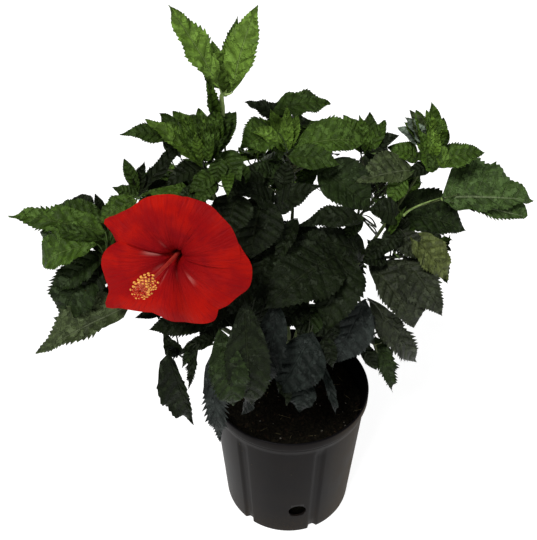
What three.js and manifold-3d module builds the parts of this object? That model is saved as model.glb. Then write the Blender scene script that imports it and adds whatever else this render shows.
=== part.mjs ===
// A hibiscus shrub in a black nursery pot: pot, potting mix, woody stem, boughs, foliage masses and one open bloom.
// Millimetres, +Z up. The origin is the middle of the pot's flat underside, and the plant's front faces -Y.
import * as THREE from "three";
import { mergeVertices } from "three/addons/utils/BufferGeometryUtils.js";
import Module from "manifold-3d";

const wasm = await Module();
wasm.setup();

const clearance = 0.4; // between pieces that touch
const socketShare = 0.8; // how far out from a mass's middle its bough ends, as a share of the mass's radius

const pot = {
  height: 165,
  rimRadius: 82.5,
  wallTopRadius: 79.5,
  baseRadius: 70,
  wall: 2,
  lipHeight: 10,
  shoulderHeight: 5,
  segments: 36,
  flutes: 6,
  firstFlute: -38, // degrees from the front
  fluteDepth: 1.6,
  fluteHalfWidth: 4, // degrees
  drainHoles: 4,
  firstHole: 7,
  holeRadius: 9.5,
  holeHeight: 42,
};

const mix = { top: 143, sideGap: 0.5, segments: 30 };

const trunk = {
  foot: [3, 5, mix.top - 4],
  middle: [1, 8, 172],
  fork: [-3, 4, 206],
  footRadius: 7,
  topRadius: 5.2,
  flare: 5,
  flareHeight: 9,
};

const bloom = {
  throat: [-92, -96, 400],
  facing: [-0.18, -0.91, 0.3],
  radius: 55,
  petals: 5,
  lobeDepth: 0.05,
  tubeLength: 34,
  columnTip: [-111, -161, 411],
  columnRadius: 2.6,
  segments: 25,
};

// Each mass: its middle, its half sizes, and the leaf tips that stand out of it as [heading, rise, reach],
// the heading in degrees round from +X and the rise above the level. Facets is its number of cuts along an edge.
const masses = {
  leaves_sprig: {
    at: [-60, 8, 506],
    half: [15, 11, 27],
    tips: [[193, 54, 61], [190, 38, 45], [12, 53, 56], [7, 39, 45], [10, 22, 36], [194, -64, 28], [344, -69, 31]],
    facets: 3,
  },
  leaves_left_top: {
    at: [-80, -10, 440],
    half: [38, 38, 28],
    tips: [[190, 26, 62], [165, 40, 49], [65, 40, 45], [221, -7, 69], [190, 1, 60], [26, 18, 48], [0, -14, 44], [340, -51, 48]],
    facets: 3,
  },
  leaves_left: {
    at: [-156, -62, 382],
    half: [34, 34, 34],
    tips: [[167, 16, 78], [124, 58, 52], [64, 62, 53], [190, -7, 50], [210, -20, 53], [220, -46, 97], [240, -52, 82], [270, -60, 74], [310, -56, 58]],
    facets: 3,
  },
  leaves_left_low: {
    at: [-100, -88, 288],
    half: [19, 15, 34],
    tips: [[38, -87, 82], [190, -78, 66], [202, -58, 43], [211, -21, 27], [180, 62, 38], [39, 51, 34]],
    facets: 3,
  },
  leaves_middle: {
    at: [2, 46, 410],
    half: [44, 42, 28],
    tips: [[143, 31, 67], [108, 34, 60], [78, 32, 62], [54, 26, 62], [12, 20, 64], [319, -23, 46], [221, -20, 76], [253, -13, 67]],
    facets: 3,
  },
  leaves_middle_right: {
    at: [70, 50, 396],
    half: [27, 34, 28],
    tips: [[86, 48, 53], [127, 43, 52], [20, 42, 41], [180, 27, 34]],
    facets: 2,
  },
  leaves_right_top: {
    at: [128, 58, 402],
    half: [31, 32, 25],
    tips: [[143, 53, 48], [95, 59, 45], [2, 2, 48], [193, -10, 38]],
    facets: 2,
  },
  leaves_far_right: {
    at: [178, 48, 374],
    half: [33, 16, 19],
    tips: [[356, -12, 43], [344, -38, 43], [177, -7, 38], [190, -38, 34], [256, -76, 26]],
    facets: 2,
  },
  leaves_right: {
    at: [106, -2, 330],
    half: [34, 38, 38],
    tips: [[3, 33, 54], [19, 46, 50], [60, 58, 52], [121, 50, 44], [303, -32, 55], [270, -40, 65], [248, -24, 56], [230, -8, 52], [202, 8, 52]],
    facets: 3,
  },
  leaves_right_low: {
    at: [82, -18, 250],
    half: [28, 34, 30],
    tips: [[357, -40, 58], [305, -62, 59], [221, 17, 68], [212, 38, 72], [38, 27, 35]],
    facets: 2,
  },
  leaves_centre: {
    at: [12, -52, 345],
    half: [38, 36, 27],
    tips: [[3, -36, 44], [282, -32, 47], [200, 3, 54], [226, -13, 55], [238, -36, 50], [97, 32, 62], [70, 31, 62], [40, 0, 46]],
    facets: 3,
  },
  leaves_front_low: {
    at: [-44, -96, 302],
    half: [32, 22, 42],
    tips: [[189, -76, 109], [183, -56, 63], [175, -24, 40], [163, 8, 38], [293, -40, 43], [14, 39, 32]],
    facets: 3,
  },
  leaves_front_right: { at: [2, -76, 278], half: [27, 21, 25], tips: [[245, -51, 44], [25, 6, 40]], facets: 2 },
  leaves_heart: { at: [-6, 14, 320], half: [50, 44, 42], tips: [[180, 44, 66], [7, 38, 58]], facets: 2 },
  leaves_inner_left: { at: [-102, 8, 298], half: [38, 42, 33], tips: [[170, -20, 46]], facets: 2 },
  leaves_back_left: { at: [-106, 76, 348], half: [44, 42, 36], tips: [[150, -10, 66], [100, -25, 56]], facets: 2 },
  leaves_back: { at: [-14, 126, 346], half: [48, 40, 36], tips: [[80, -15, 62], [120, 10, 54]], facets: 2 },
  leaves_back_right: { at: [92, 110, 332], half: [44, 40, 36], tips: [[40, -18, 60], [80, -30, 52]], facets: 2 },
  leaves_back_low: { at: [28, 84, 248], half: [56, 40, 33], tips: [[60, -38, 62], [130, -30, 66]], facets: 2 },
};

// Each bough: the limb that it leaves and how far along, the mass or the bloom that it runs to, its two radii,
// and how far it bows up in the middle.
const boughs = {
  bough_heart: { from: "trunk", at: 0.96, to: "leaves_heart", radii: [4.4, 2.6], bow: 4 },
  bough_left_top: { from: "trunk", at: 0.82, to: "leaves_left_top", radii: [4.4, 2.6], bow: 12 },
  bough_sprig: { from: "bough_left_top", at: 0.72, to: "leaves_sprig", radii: [2.6, 1.9], bow: 6 },
  bough_left: { from: "trunk", at: 0.62, to: "leaves_left", radii: [4.2, 2.4], bow: 16 },
  bough_bloom: { from: "bough_left", at: 0.5, to: "bloom", radii: [2.6, 1.8], bow: 6 },
  bough_left_low: { from: "bough_left", at: 0.34, to: "leaves_left_low", radii: [2.4, 1.8], bow: 12 },
  bough_middle: { from: "bough_heart", at: 0.45, to: "leaves_middle", radii: [3.6, 2.4], bow: 8 },
  bough_right_top: { from: "trunk", at: 0.88, to: "leaves_right_top", radii: [4.2, 2.4], bow: 12 },
  bough_middle_right: { from: "bough_right_top", at: 0.4, to: "leaves_middle_right", radii: [3, 2.2], bow: 6 },
  bough_far_right: { from: "bough_right_top", at: 0.8, to: "leaves_far_right", radii: [2.2, 1.6], bow: 2 },
  bough_right: { from: "bough_right_top", at: 0.55, to: "leaves_right", radii: [2.6, 2], bow: 8 },
  bough_right_low: { from: "trunk", at: 0.5, to: "leaves_right_low", radii: [3.2, 2.2], bow: 8 },
  bough_centre: { from: "trunk", at: 0.74, to: "leaves_centre", radii: [3.4, 2.2], bow: 4 },
  bough_front_low: { from: "bough_centre", at: 0.35, to: "leaves_front_low", radii: [2.8, 2], bow: 12 },
  bough_front_right: { from: "bough_centre", at: 0.6, to: "leaves_front_right", radii: [2.4, 1.8], bow: 8 },
  bough_back_left: { from: "trunk", at: 0.7, to: "leaves_back_left", radii: [3.8, 2.4], bow: 10 },
  bough_inner_left: { from: "bough_back_left", at: 0.3, to: "leaves_inner_left", radii: [2.6, 2], bow: 6 },
  bough_back: { from: "trunk", at: 0.78, to: "leaves_back", radii: [3.8, 2.4], bow: 8 },
  bough_back_right: { from: "bough_back", at: 0.3, to: "leaves_back_right", radii: [3, 2.2], bow: 8 },
  bough_back_low: { from: "trunk", at: 0.42, to: "leaves_back_low", radii: [3, 2.2], bow: 6 },
};

const materials = {
  plastic: new THREE.MeshStandardMaterial({ color: 0x2c2c2f, roughness: 0.5, metalness: 0 }),
  soil: new THREE.MeshStandardMaterial({ color: 0x1c1510, roughness: 0.95, metalness: 0 }),
  bark: new THREE.MeshStandardMaterial({ color: 0x5d5142, roughness: 0.85, metalness: 0 }),
  leaf: new THREE.MeshStandardMaterial({ color: 0x24401c, roughness: 0.4, metalness: 0 }),
  youngLeaf: new THREE.MeshStandardMaterial({ color: 0x4f7d2a, roughness: 0.45, metalness: 0 }),
  petal: new THREE.MeshStandardMaterial({ color: 0xc01410, roughness: 0.55, metalness: 0 }),
};

const radians = THREE.MathUtils.degToRad;
const vector = (point) => new THREE.Vector3(...point);

// The pot and the mix are turned shapes about Z: a three.js lathe turns about Y.
function turned(profile, segments) {
  const points = profile.map(([radius, height]) => new THREE.Vector2(radius, height));
  return new THREE.LatheGeometry(points, segments).rotateX(Math.PI / 2);
}

function solidOf(geometry) {
  const bare = geometry.clone();
  bare.deleteAttribute("normal");
  bare.deleteAttribute("uv");
  const merged = mergeVertices(bare, 1e-4);
  return new wasm.Manifold(
    new wasm.Mesh({
      numProp: 3,
      vertProperties: new Float32Array(merged.attributes.position.array),
      triVerts: new Uint32Array(merged.index.array),
    }),
  );
}

function geometryOf(solid) {
  const mesh = solid.getMesh();
  const geometry = new THREE.BufferGeometry();
  geometry.setAttribute("position", new THREE.BufferAttribute(mesh.vertProperties, 3));
  geometry.setIndex(new THREE.BufferAttribute(mesh.triVerts, 1));
  geometry.computeVertexNormals();
  return geometry;
}

// What is left of a solid after its neighbours are cut away: its largest body.
function cutBy(solid, neighbours) {
  const left = neighbours.reduce((kept, neighbour) => kept.subtract(neighbour), solid);
  return left.decompose().sort((a, b) => b.volume() - a.volume())[0];
}

// A small repeatable random source, so that every build gives the same plant.
function randomFrom(seed) {
  let state = seed;
  return () => {
    state = (state * 1664525 + 1013904223) % 4294967296;
    return state / 4294967296;
  };
}

function potSolid() {
  const { height, rimRadius, wallTopRadius, baseRadius, wall, lipHeight, shoulderHeight, segments } = pot;
  const lipFoot = height - lipHeight;
  const shoulderFoot = lipFoot - shoulderHeight;
  const cornerHeight = 4;
  const fluteTop = shoulderFoot - 7;
  const fluteTopRadius = THREE.MathUtils.mapLinear(fluteTop, cornerHeight, shoulderFoot, baseRadius, wallTopRadius);
  const shell = turned(
    [
      [0, 0],
      [baseRadius - 2, 0],
      [baseRadius, cornerHeight],
      [fluteTopRadius, fluteTop],
      [wallTopRadius, shoulderFoot],
      [wallTopRadius + 1.4, shoulderFoot + 1],
      [wallTopRadius + 1.4, lipFoot],
      [rimRadius, lipFoot + 1],
      [rimRadius, height - 1],
      [rimRadius - 1, height],
      [rimRadius - wall, height],
      [wallTopRadius - wall, shoulderFoot],
      [fluteTopRadius - wall, fluteTop],
      [baseRadius - wall, cornerHeight],
      [baseRadius - wall - 2, wall],
      [0, wall],
    ],
    segments,
  );
  pressFlutes(shell, shoulderFoot);
  return cutBy(solidOf(shell), drainHoleTools());
}

// Presses the upright flutes into the side wall, outside and inside alike.
function pressFlutes(shell, top) {
  const position = shell.getAttribute("position");
  for (let i = 0; i < position.count; i++) {
    const [x, y, z] = [position.getX(i), position.getY(i), position.getZ(i)];
    const radius = Math.hypot(x, y);
    if (z >= top || radius < pot.baseRadius - 6) continue;
    const round = THREE.MathUtils.radToDeg(Math.atan2(x, -y));
    const pitch = 360 / pot.flutes;
    const off = ((((round - pot.firstFlute) % pitch) + pitch * 1.5) % pitch) - pitch / 2;
    if (Math.abs(off) > pot.fluteHalfWidth) continue;
    const share = (radius - pot.fluteDepth) / radius;
    position.setXY(i, x * share, y * share);
  }
}

function drainHoleTools() {
  return Array.from({ length: pot.drainHoles }, (_, i) => {
    const angle = radians(pot.firstHole + (360 / pot.drainHoles) * i);
    const tool = new THREE.CylinderGeometry(pot.holeRadius, pot.holeRadius, 20, 10);
    tool.translate(0, -pot.baseRadius, 0).rotateZ(angle).translate(0, 0, pot.holeHeight);
    return solidOf(tool);
  });
}

// The potting mix fills the pot to below the rim, clear of the pressed flutes.
function mixSolid() {
  const inset = pot.wall + pot.fluteDepth + mix.sideGap;
  const floor = pot.wall + clearance;
  const taper = (pot.wallTopRadius - pot.baseRadius) / (pot.height - pot.lipHeight - pot.shoulderHeight);
  const topRadius = pot.baseRadius - inset + taper * (mix.top - 4);
  return solidOf(
    turned(
      [
        [0, floor],
        [pot.baseRadius - inset - 3, floor],
        [pot.baseRadius - inset, floor + 6],
        [topRadius, mix.top - 4],
        [topRadius - 5, mix.top],
        [0, mix.top],
      ],
      mix.segments,
    ),
  );
}

// The ground that the trunk's foot is cut flat on: a block whose top lies just above the potting mix.
function groundTool() {
  const block = new THREE.BoxGeometry(60, 60, 40);
  block.translate(trunk.foot[0], trunk.foot[1], mix.top + clearance - 20);
  return solidOf(block);
}

// A round limb along a curve: a cylinder whose rings are carried onto the curve and sized by radiusAt(share, angle).
function limbSolid({ curve, radiusAt, sides, steps }, grow = 0) {
  const geometry = new THREE.CylinderGeometry(1, 1, 1, sides, steps);
  const position = geometry.getAttribute("position");
  const reference = new THREE.Vector3(0.31, 0.95, 0.05).normalize();
  const point = new THREE.Vector3();
  for (let i = 0; i < position.count; i++) {
    point.fromBufferAttribute(position, i);
    const share = point.y + 0.5;
    const along = curve.getTangentAt(share);
    const side = new THREE.Vector3().crossVectors(along, reference).normalize();
    const front = new THREE.Vector3().crossVectors(side, along);
    const radius = radiusAt(share, Math.atan2(point.z, point.x)) + grow;
    const centre = curve.getPointAt(share);
    if (share < 1e-6) centre.addScaledVector(along, -grow);
    if (share > 1 - 1e-6) centre.addScaledVector(along, grow);
    centre.addScaledVector(side, point.x * radius).addScaledVector(front, point.z * radius);
    position.setXYZ(i, centre.x, centre.y, centre.z);
  }
  return solidOf(geometry);
}

function trunkLimb() {
  const curve = new THREE.QuadraticBezierCurve3(vector(trunk.foot), vector(trunk.middle), vector(trunk.fork));
  const length = curve.getLength();
  const radiusAt = (share, angle) => {
    const flare = trunk.flare * Math.exp((-share * length) / trunk.flareHeight);
    return THREE.MathUtils.lerp(trunk.footRadius, trunk.topRadius, share) + flare * (1 + 0.3 * Math.cos(3 * angle));
  };
  return { curve, radiusAt, sides: 10, steps: 7 };
}

function directionOf(heading, rise) {
  const level = Math.cos(radians(rise));
  return new THREE.Vector3(
    level * Math.cos(radians(heading)),
    level * Math.sin(radians(heading)),
    Math.sin(radians(rise)),
  );
}

// The uneven surface of a mass: how far its lumps stand out in a direction, as a share of its radius.
function lumpsOf(seed) {
  const random = randomFrom(seed);
  const lumps = Array.from({ length: 9 }, () => ({
    towards: directionOf(360 * random(), 150 * random() - 60),
    height: 0.36 * random() - 0.16,
  }));
  return (direction) =>
    lumps.reduce((sum, lump) => {
      const apart = direction.angleTo(lump.towards) / 0.55;
      return sum + lump.height * Math.exp(-apart * apart);
    }, 1);
}

function massRadius(mass, lumps, direction) {
  const [a, b, c] = mass.half;
  const ellipsoid = 1 / Math.hypot(direction.x / a, direction.y / b, direction.z / c);
  return ellipsoid * lumps(direction);
}

// A mass of leaves: a ball of facets, uneven all round, drawn out to its leaf tips.
function massSolid(mass, seed, grow = 0) {
  const tipSpread = 0.62;
  const ball = new THREE.IcosahedronGeometry(1, mass.facets);
  ball.deleteAttribute("normal");
  ball.deleteAttribute("uv");
  const geometry = mergeVertices(ball, 1e-4);
  const position = geometry.getAttribute("position");
  const lumps = lumpsOf(seed);
  const tips = mass.tips.map(([heading, rise, reach]) => ({ towards: directionOf(heading, rise), reach }));
  const directions = Array.from({ length: position.count }, (_, i) =>
    new THREE.Vector3().fromBufferAttribute(position, i).normalize(),
  );
  for (const tip of tips) {
    const angles = directions.map((direction) => direction.angleTo(tip.towards));
    directions[angles.indexOf(Math.min(...angles))].copy(tip.towards);
  }
  directions.forEach((direction, i) => {
    const radius = massRadius(mass, lumps, direction);
    const drawn = tips.map((tip) => {
      const nearness = Math.max(0, 1 - direction.angleTo(tip.towards) / tipSpread);
      return (tip.reach - radius) * nearness ** 1.8;
    });
    const reach = radius + Math.max(0, ...drawn) + grow;
    const [x, y, z] = mass.at;
    position.setXYZ(i, x + direction.x * reach, y + direction.y * reach, z + direction.z * reach);
  });
  return solidOf(geometry);
}

// A bough runs from a point on its parent limb to its socket, just inside the near side of its mass.
function boughLimb(bough, curves, sockets) {
  const start = curves[bough.from].getPointAt(bough.at);
  const end = sockets(bough.to, start);
  const middle = start.clone().lerp(end, 0.5);
  middle.z += bough.bow;
  const outward = end.clone().sub(start);
  middle.x += outward.x * 0.12;
  middle.y += outward.y * 0.12;
  return {
    curve: new THREE.QuadraticBezierCurve3(start, middle, end),
    radiusAt: (share) => THREE.MathUtils.lerp(bough.radii[0], bough.radii[1], share),
    sides: bough.radii[0] > 3 ? 6 : 5,
    steps: 4,
  };
}

// The open bloom: a funnel with five lobes, its calyx tube behind and the staminal column in front.
function bloomSolid(grow = 0) {
  const { radius, tubeLength, columnRadius } = bloom;
  const thickness = 2.4 + grow;
  const facing = vector(bloom.facing).normalize();
  const turn = new THREE.Quaternion().setFromUnitVectors(new THREE.Vector3(0, 0, 1), facing);
  const funnel = turned(
    [
      [0, -tubeLength - grow],
      [4.5 + grow, -tubeLength - grow],
      [7.5 + grow, -tubeLength * 0.6],
      [9 + grow, -10],
      [radius * 0.42, -2 - grow],
      [radius * 0.78, 5 - grow],
      [radius + grow, 3 - grow],
      [radius - 1 + grow, 3 + thickness],
      [radius * 0.76, 5 + thickness],
      [radius * 0.4, thickness],
      [6, -7],
      [0, -9],
    ],
    bloom.segments,
  );
  const position = funnel.getAttribute("position");
  for (let i = 0; i < position.count; i++) {
    const [x, y] = [position.getX(i), position.getY(i)];
    const out = Math.hypot(x, y) / radius;
    const scale = 1 + bloom.lobeDepth * out * Math.cos(bloom.petals * Math.atan2(y, x));
    position.setXY(i, x * scale, y * scale);
  }
  funnel.applyQuaternion(turn).translate(...bloom.throat);
  const column = limbSolid(
    {
      curve: new THREE.LineCurve3(vector(bloom.throat).addScaledVector(facing, -14), vector(bloom.columnTip)),
      radiusAt: (share) => columnRadius * (share > 0.7 ? 2.2 : 1),
      sides: 6,
      steps: 5,
    },
    grow,
  );
  return solidOf(funnel).add(column);
}

const names = Object.keys(masses);
const seedOf = (name) => 7 + 13 * names.indexOf(name);

// Where a bough ends: near the surface of its mass on the side it comes from, or behind the bloom's calyx.
function socketOf(target, start) {
  if (target === "bloom") {
    const facing = vector(bloom.facing).normalize();
    return vector(bloom.throat).addScaledVector(facing, -bloom.tubeLength - clearance);
  }
  const mass = masses[target];
  const inward = start.clone().sub(vector(mass.at)).normalize();
  const radius = massRadius(mass, lumpsOf(seedOf(target)), inward);
  return vector(mass.at).addScaledVector(inward, radius * socketShare);
}

const plant = new THREE.Group();
plant.name = "hibiscus_in_pot";

function addPiece(name, solid, material) {
  const mesh = new THREE.Mesh(geometryOf(solid), material);
  mesh.name = name;
  plant.add(mesh);
}

addPiece("pot", potSolid(), materials.plastic);
addPiece("potting_mix", mixSolid(), materials.soil);

const limbs = { trunk: trunkLimb() };
const curves = { trunk: limbs.trunk.curve };
for (const [name, bough] of Object.entries(boughs)) {
  limbs[name] = boughLimb(bough, curves, socketOf);
  curves[name] = limbs[name].curve;
}

const placed = [groundTool()]; // grown copies of what is placed already, to cut the next piece clear
for (const [name, limb] of Object.entries(limbs)) {
  addPiece(name, cutBy(limbSolid(limb), placed), materials.bark);
  placed.push(limbSolid(limb, clearance));
}

addPiece("bloom", cutBy(bloomSolid(), placed), materials.petal);
placed.push(bloomSolid(clearance));

for (const name of names) {
  const young = name === "leaves_sprig" || name === "leaves_middle";
  const solid = cutBy(massSolid(masses[name], seedOf(name)), placed);
  addPiece(name, solid, young ? materials.youngLeaf : materials.leaf);
  placed.push(massSolid(masses[name], seedOf(name), clearance));
}

export default plant;
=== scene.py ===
# A young hibiscus shrub with one open red bloom, in its black nursery pot.
# Lengths are millimetres and angles are degrees in the dictionaries; the meshes are in metres.
import math
import random

import bmesh
import bpy
from mathutils import Matrix, Vector, noise
from mathutils.bvhtree import BVHTree


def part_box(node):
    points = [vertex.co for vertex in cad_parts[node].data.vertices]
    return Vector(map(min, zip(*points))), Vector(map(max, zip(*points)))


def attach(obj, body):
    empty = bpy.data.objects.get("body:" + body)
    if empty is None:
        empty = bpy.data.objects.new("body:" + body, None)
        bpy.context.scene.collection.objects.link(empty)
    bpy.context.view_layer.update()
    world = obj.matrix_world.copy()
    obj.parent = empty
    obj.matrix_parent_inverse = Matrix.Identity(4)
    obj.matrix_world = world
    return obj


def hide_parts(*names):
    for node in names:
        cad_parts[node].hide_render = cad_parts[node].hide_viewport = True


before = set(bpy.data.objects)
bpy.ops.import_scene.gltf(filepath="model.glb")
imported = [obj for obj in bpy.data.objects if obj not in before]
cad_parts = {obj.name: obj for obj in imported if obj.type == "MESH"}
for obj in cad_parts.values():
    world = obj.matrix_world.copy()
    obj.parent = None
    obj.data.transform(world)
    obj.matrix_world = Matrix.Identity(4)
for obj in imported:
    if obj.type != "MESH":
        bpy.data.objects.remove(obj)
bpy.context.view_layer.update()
mm = 0.001
upward = Vector((0, 0, 1))


class Flow:  # a socket's value, so that node maths reads as plain maths
    def __init__(self, work, socket):
        self.work = work
        self.socket = socket

    def output(self, name):
        return Flow(self.work, self.socket.node.outputs[name])

    def __add__(self, other):
        return self.work.maths("ADD", self, other)

    def __sub__(self, other):
        return self.work.maths("SUBTRACT", self, other)

    def __rsub__(self, other):
        return self.work.maths("SUBTRACT", other, self)

    def __mul__(self, other):
        return self.work.maths("MULTIPLY", self, other)

    __radd__ = __add__
    __rmul__ = __mul__


class NodeWork:  # builds one node tree
    def __init__(self, tree):
        self.tree = tree
        tree.nodes.clear()

    def node(self, kind, settings=None, sockets=None, output=0):
        made = self.tree.nodes.new(kind)
        for name, setting in (settings or {}).items():
            setattr(made, name, setting)
        for key, value in (sockets or {}).items():
            socket = made.inputs[key]
            if isinstance(value, Flow):
                self.tree.links.new(value.socket, socket)
            else:
                socket.default_value = value
        return Flow(self, made.outputs[output]) if made.outputs else None

    def maths(self, operation, *values):
        return self.node("ShaderNodeMath", {"operation": operation}, dict(enumerate(values)))

    def vectorMaths(self, operation, *values):
        return self.node("ShaderNodeVectorMath", {"operation": operation}, dict(enumerate(values)))

    def scaled(self, vector, factor):
        return self.node("ShaderNodeVectorMath", {"operation": "SCALE"}, {0: vector, "Scale": factor})

    def axis(self, vector, name):  # one number of a vector
        return self.node("ShaderNodeSeparateXYZ", {}, {"Vector": vector}, name)

    def vector(self, **numbers):
        return self.node("ShaderNodeCombineXYZ", {}, numbers)

    def between(self, value, low, high):  # 0 at low, 1 at high, smooth in between
        settings = {"interpolation_type": "SMOOTHSTEP"}
        sockets = {"Value": value, "From Min": low, "From Max": high, "To Min": 0.0, "To Max": 1.0}
        return self.node("ShaderNodeMapRange", settings, sockets)

    def mixed(self, mask, first, second):
        colours = [value if isinstance(value, Flow) else (*value, 1) for value in (first, second)]
        settings = {"data_type": "RGBA", "blend_type": "MIX"}
        return self.node("ShaderNodeMix", settings, {0: mask, 6: colours[0], 7: colours[1]}, 2)

    def place(self):
        return self.node("ShaderNodeTexCoord", output="Object")

    def ownMap(self):
        return self.node("ShaderNodeUVMap", {"uv_map": "veins"})

    def drawnOut(self, vector, share):  # a pattern that runs long in height
        return self.node("ShaderNodeMapping", {}, {"Vector": vector, "Scale": (1, 1, share)})

    def noise(self, vector, scale, detail=3.0, roughness=0.55):
        sockets = {"Vector": vector, "Scale": scale, "Detail": detail, "Roughness": roughness}
        return self.node("ShaderNodeTexNoise", {}, sockets, "Fac")

    def bump(self, height, distance, strength=1.0):
        sockets = {"Height": height, "Distance": distance, "Strength": strength}
        return self.node("ShaderNodeBump", {}, sockets)


def newFinish(name):
    material = bpy.data.materials.new(name)
    material.use_nodes = True
    return material, NodeWork(material.node_tree)


def surface(work, **sockets):  # the shader and the material's output
    labels = {"colour": "Base Color", "specular": "Specular IOR Level"}
    named = {labels.get(key, key.title() if key.islower() else key): value for key, value in sockets.items()}
    if isinstance(named["Base Color"], tuple):
        named["Base Color"] = (*named["Base Color"], 1)
    shader = work.node("ShaderNodeBsdfPrincipled", {}, named)
    work.node("ShaderNodeOutputMaterial", {}, {"Surface": shader})


def mottledFinish(name, dark, light, scale, detail, **sockets):
    material, work = newFinish(name)
    shade = work.noise(work.place(), scale, detail)
    surface(work, colour=work.mixed(shade, dark, light), **sockets)
    return material


def shaded(colour, share, added=0):
    return tuple(number * share + added for number in colour)


def newObject(name, data):
    made = bpy.data.objects.new(name, data)
    bpy.context.scene.collection.objects.link(made)
    return made


def appliedMesh(item):  # the item's mesh with its modifiers in it
    evaluated = item.evaluated_get(bpy.context.evaluated_depsgraph_get())
    return bpy.data.meshes.new_from_object(evaluated)


class Bunch:  # many sheets and tubes joined into one mesh
    def __init__(self):
        self.points = []
        self.faces = []
        self.maps = []
        self.finishes = []

    def sheet(self, rows, maps, finish):
        start = len(self.points)
        width = len(rows[0])
        for row, mapRow in zip(rows, maps):
            self.points.extend(row)
            self.maps.extend(mapRow)
        for i in range(len(rows) - 1):
            for j in range(width - 1):
                corner = start + i * width + j
                self.faces.append((corner, corner + 1, corner + 1 + width, corner + width))
                self.finishes.append(finish)

    def grid(self, rows, columns, spotAt):  # a sheet by a rule that gives each corner's place and map
        spots = [[spotAt(i, j) for j in range(columns + 1)] for i in range(rows + 1)]
        places = [[place for place, _ in row] for row in spots]
        self.sheet(places, [[pair for _, pair in row] for row in spots], 0)

    def tube(self, path, radii, sides=6, finish=0):
        last = len(path) - 1
        side = (path[1] - path[0]).orthogonal().normalized()
        rows = [[path[0]] * (sides + 1)]
        for i, point in enumerate(path):
            along = (path[min(i + 1, last)] - path[max(i - 1, 0)]).normalized()
            side = (side - along * side.dot(along)).normalized()
            across = along.cross(side)
            angles = [2 * math.pi * j / sides for j in range(sides + 1)]
            rows.append([point + (side * math.cos(a) + across * math.sin(a)) * radii[i] for a in angles])
        rows.append([path[-1]] * (sides + 1))
        maps = [[(j / sides, i) for j in range(sides + 1)] for i in range(len(rows))]
        self.sheet(rows, maps, finish)

    def ball(self, middle, radius, stretch, along, finish=0, sides=8):
        rings = sides // 2
        turns = [math.pi * i / rings for i in range(rings + 1)]
        path = [middle - along * math.cos(turn) * radius * stretch for turn in turns]
        self.tube(path, [max(math.sin(turn), 0.05) * radius for turn in turns], sides, finish)


def makePiece(name, bunch, finishes, closed=False, weld=0.02):
    mesh = bpy.data.meshes.new(name)
    mesh.from_pydata([tuple(point) for point in bunch.points], [], bunch.faces)
    layer = mesh.uv_layers.new(name="veins")
    corners = [bunch.maps[corner] for face in bunch.faces for corner in face]
    layer.data.foreach_set("uv", [number for pair in corners for number in pair])
    mesh.polygons.foreach_set("material_index", bunch.finishes)
    mesh.polygons.foreach_set("use_smooth", [True] * len(bunch.faces))
    for material in finishes:
        mesh.materials.append(material)
    work = bmesh.new()
    work.from_mesh(mesh)
    bmesh.ops.remove_doubles(work, verts=work.verts, dist=weld * mm)
    if closed:
        bmesh.ops.recalc_face_normals(work, faces=work.faces)
    work.to_mesh(mesh)
    work.free()
    return newObject(name, mesh)


def weldedCopy(nodes):  # the mesh of CAD nodes, merged into one
    work = bmesh.new()
    for node in nodes:
        work.from_mesh(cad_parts[node].data)
    bmesh.ops.remove_doubles(work, verts=work.verts, dist=0.01 * mm)
    mesh = bpy.data.meshes.new("copy")
    work.to_mesh(mesh)
    work.free()
    return mesh


def limited(value, low=0, high=1):
    return min(max(value, low), high)


def bezier(start, bend, end, steps):
    shares = [i / steps for i in range(steps + 1)]
    return [start * (1 - t) ** 2 + bend * (2 * t * (1 - t)) + end * t * t for t in shares]


def through(stations, where):  # a smooth reading between stations, each a position and its values
    index = 0
    while index < len(stations) - 2 and where > stations[index + 1][0]:
        index += 1
    before = stations[max(index - 1, 0)]
    first = stations[index]
    second = stations[index + 1]
    after = stations[min(index + 2, len(stations) - 1)]
    reach = second[0] - first[0]
    t = limited((where - first[0]) / reach)
    values = []
    for k in range(1, len(first)):
        slopeFirst = (second[k] - before[k]) / (second[0] - before[0]) * reach
        slopeSecond = (after[k] - first[k]) / (after[0] - first[0]) * reach
        values.append((2 * t**3 - 3 * t**2 + 1) * first[k] + (t**3 - 2 * t**2 + t) * slopeFirst
                      + (3 * t**2 - 2 * t**3) * second[k] + (t**3 - t**2) * slopeSecond)
    return values


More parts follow.
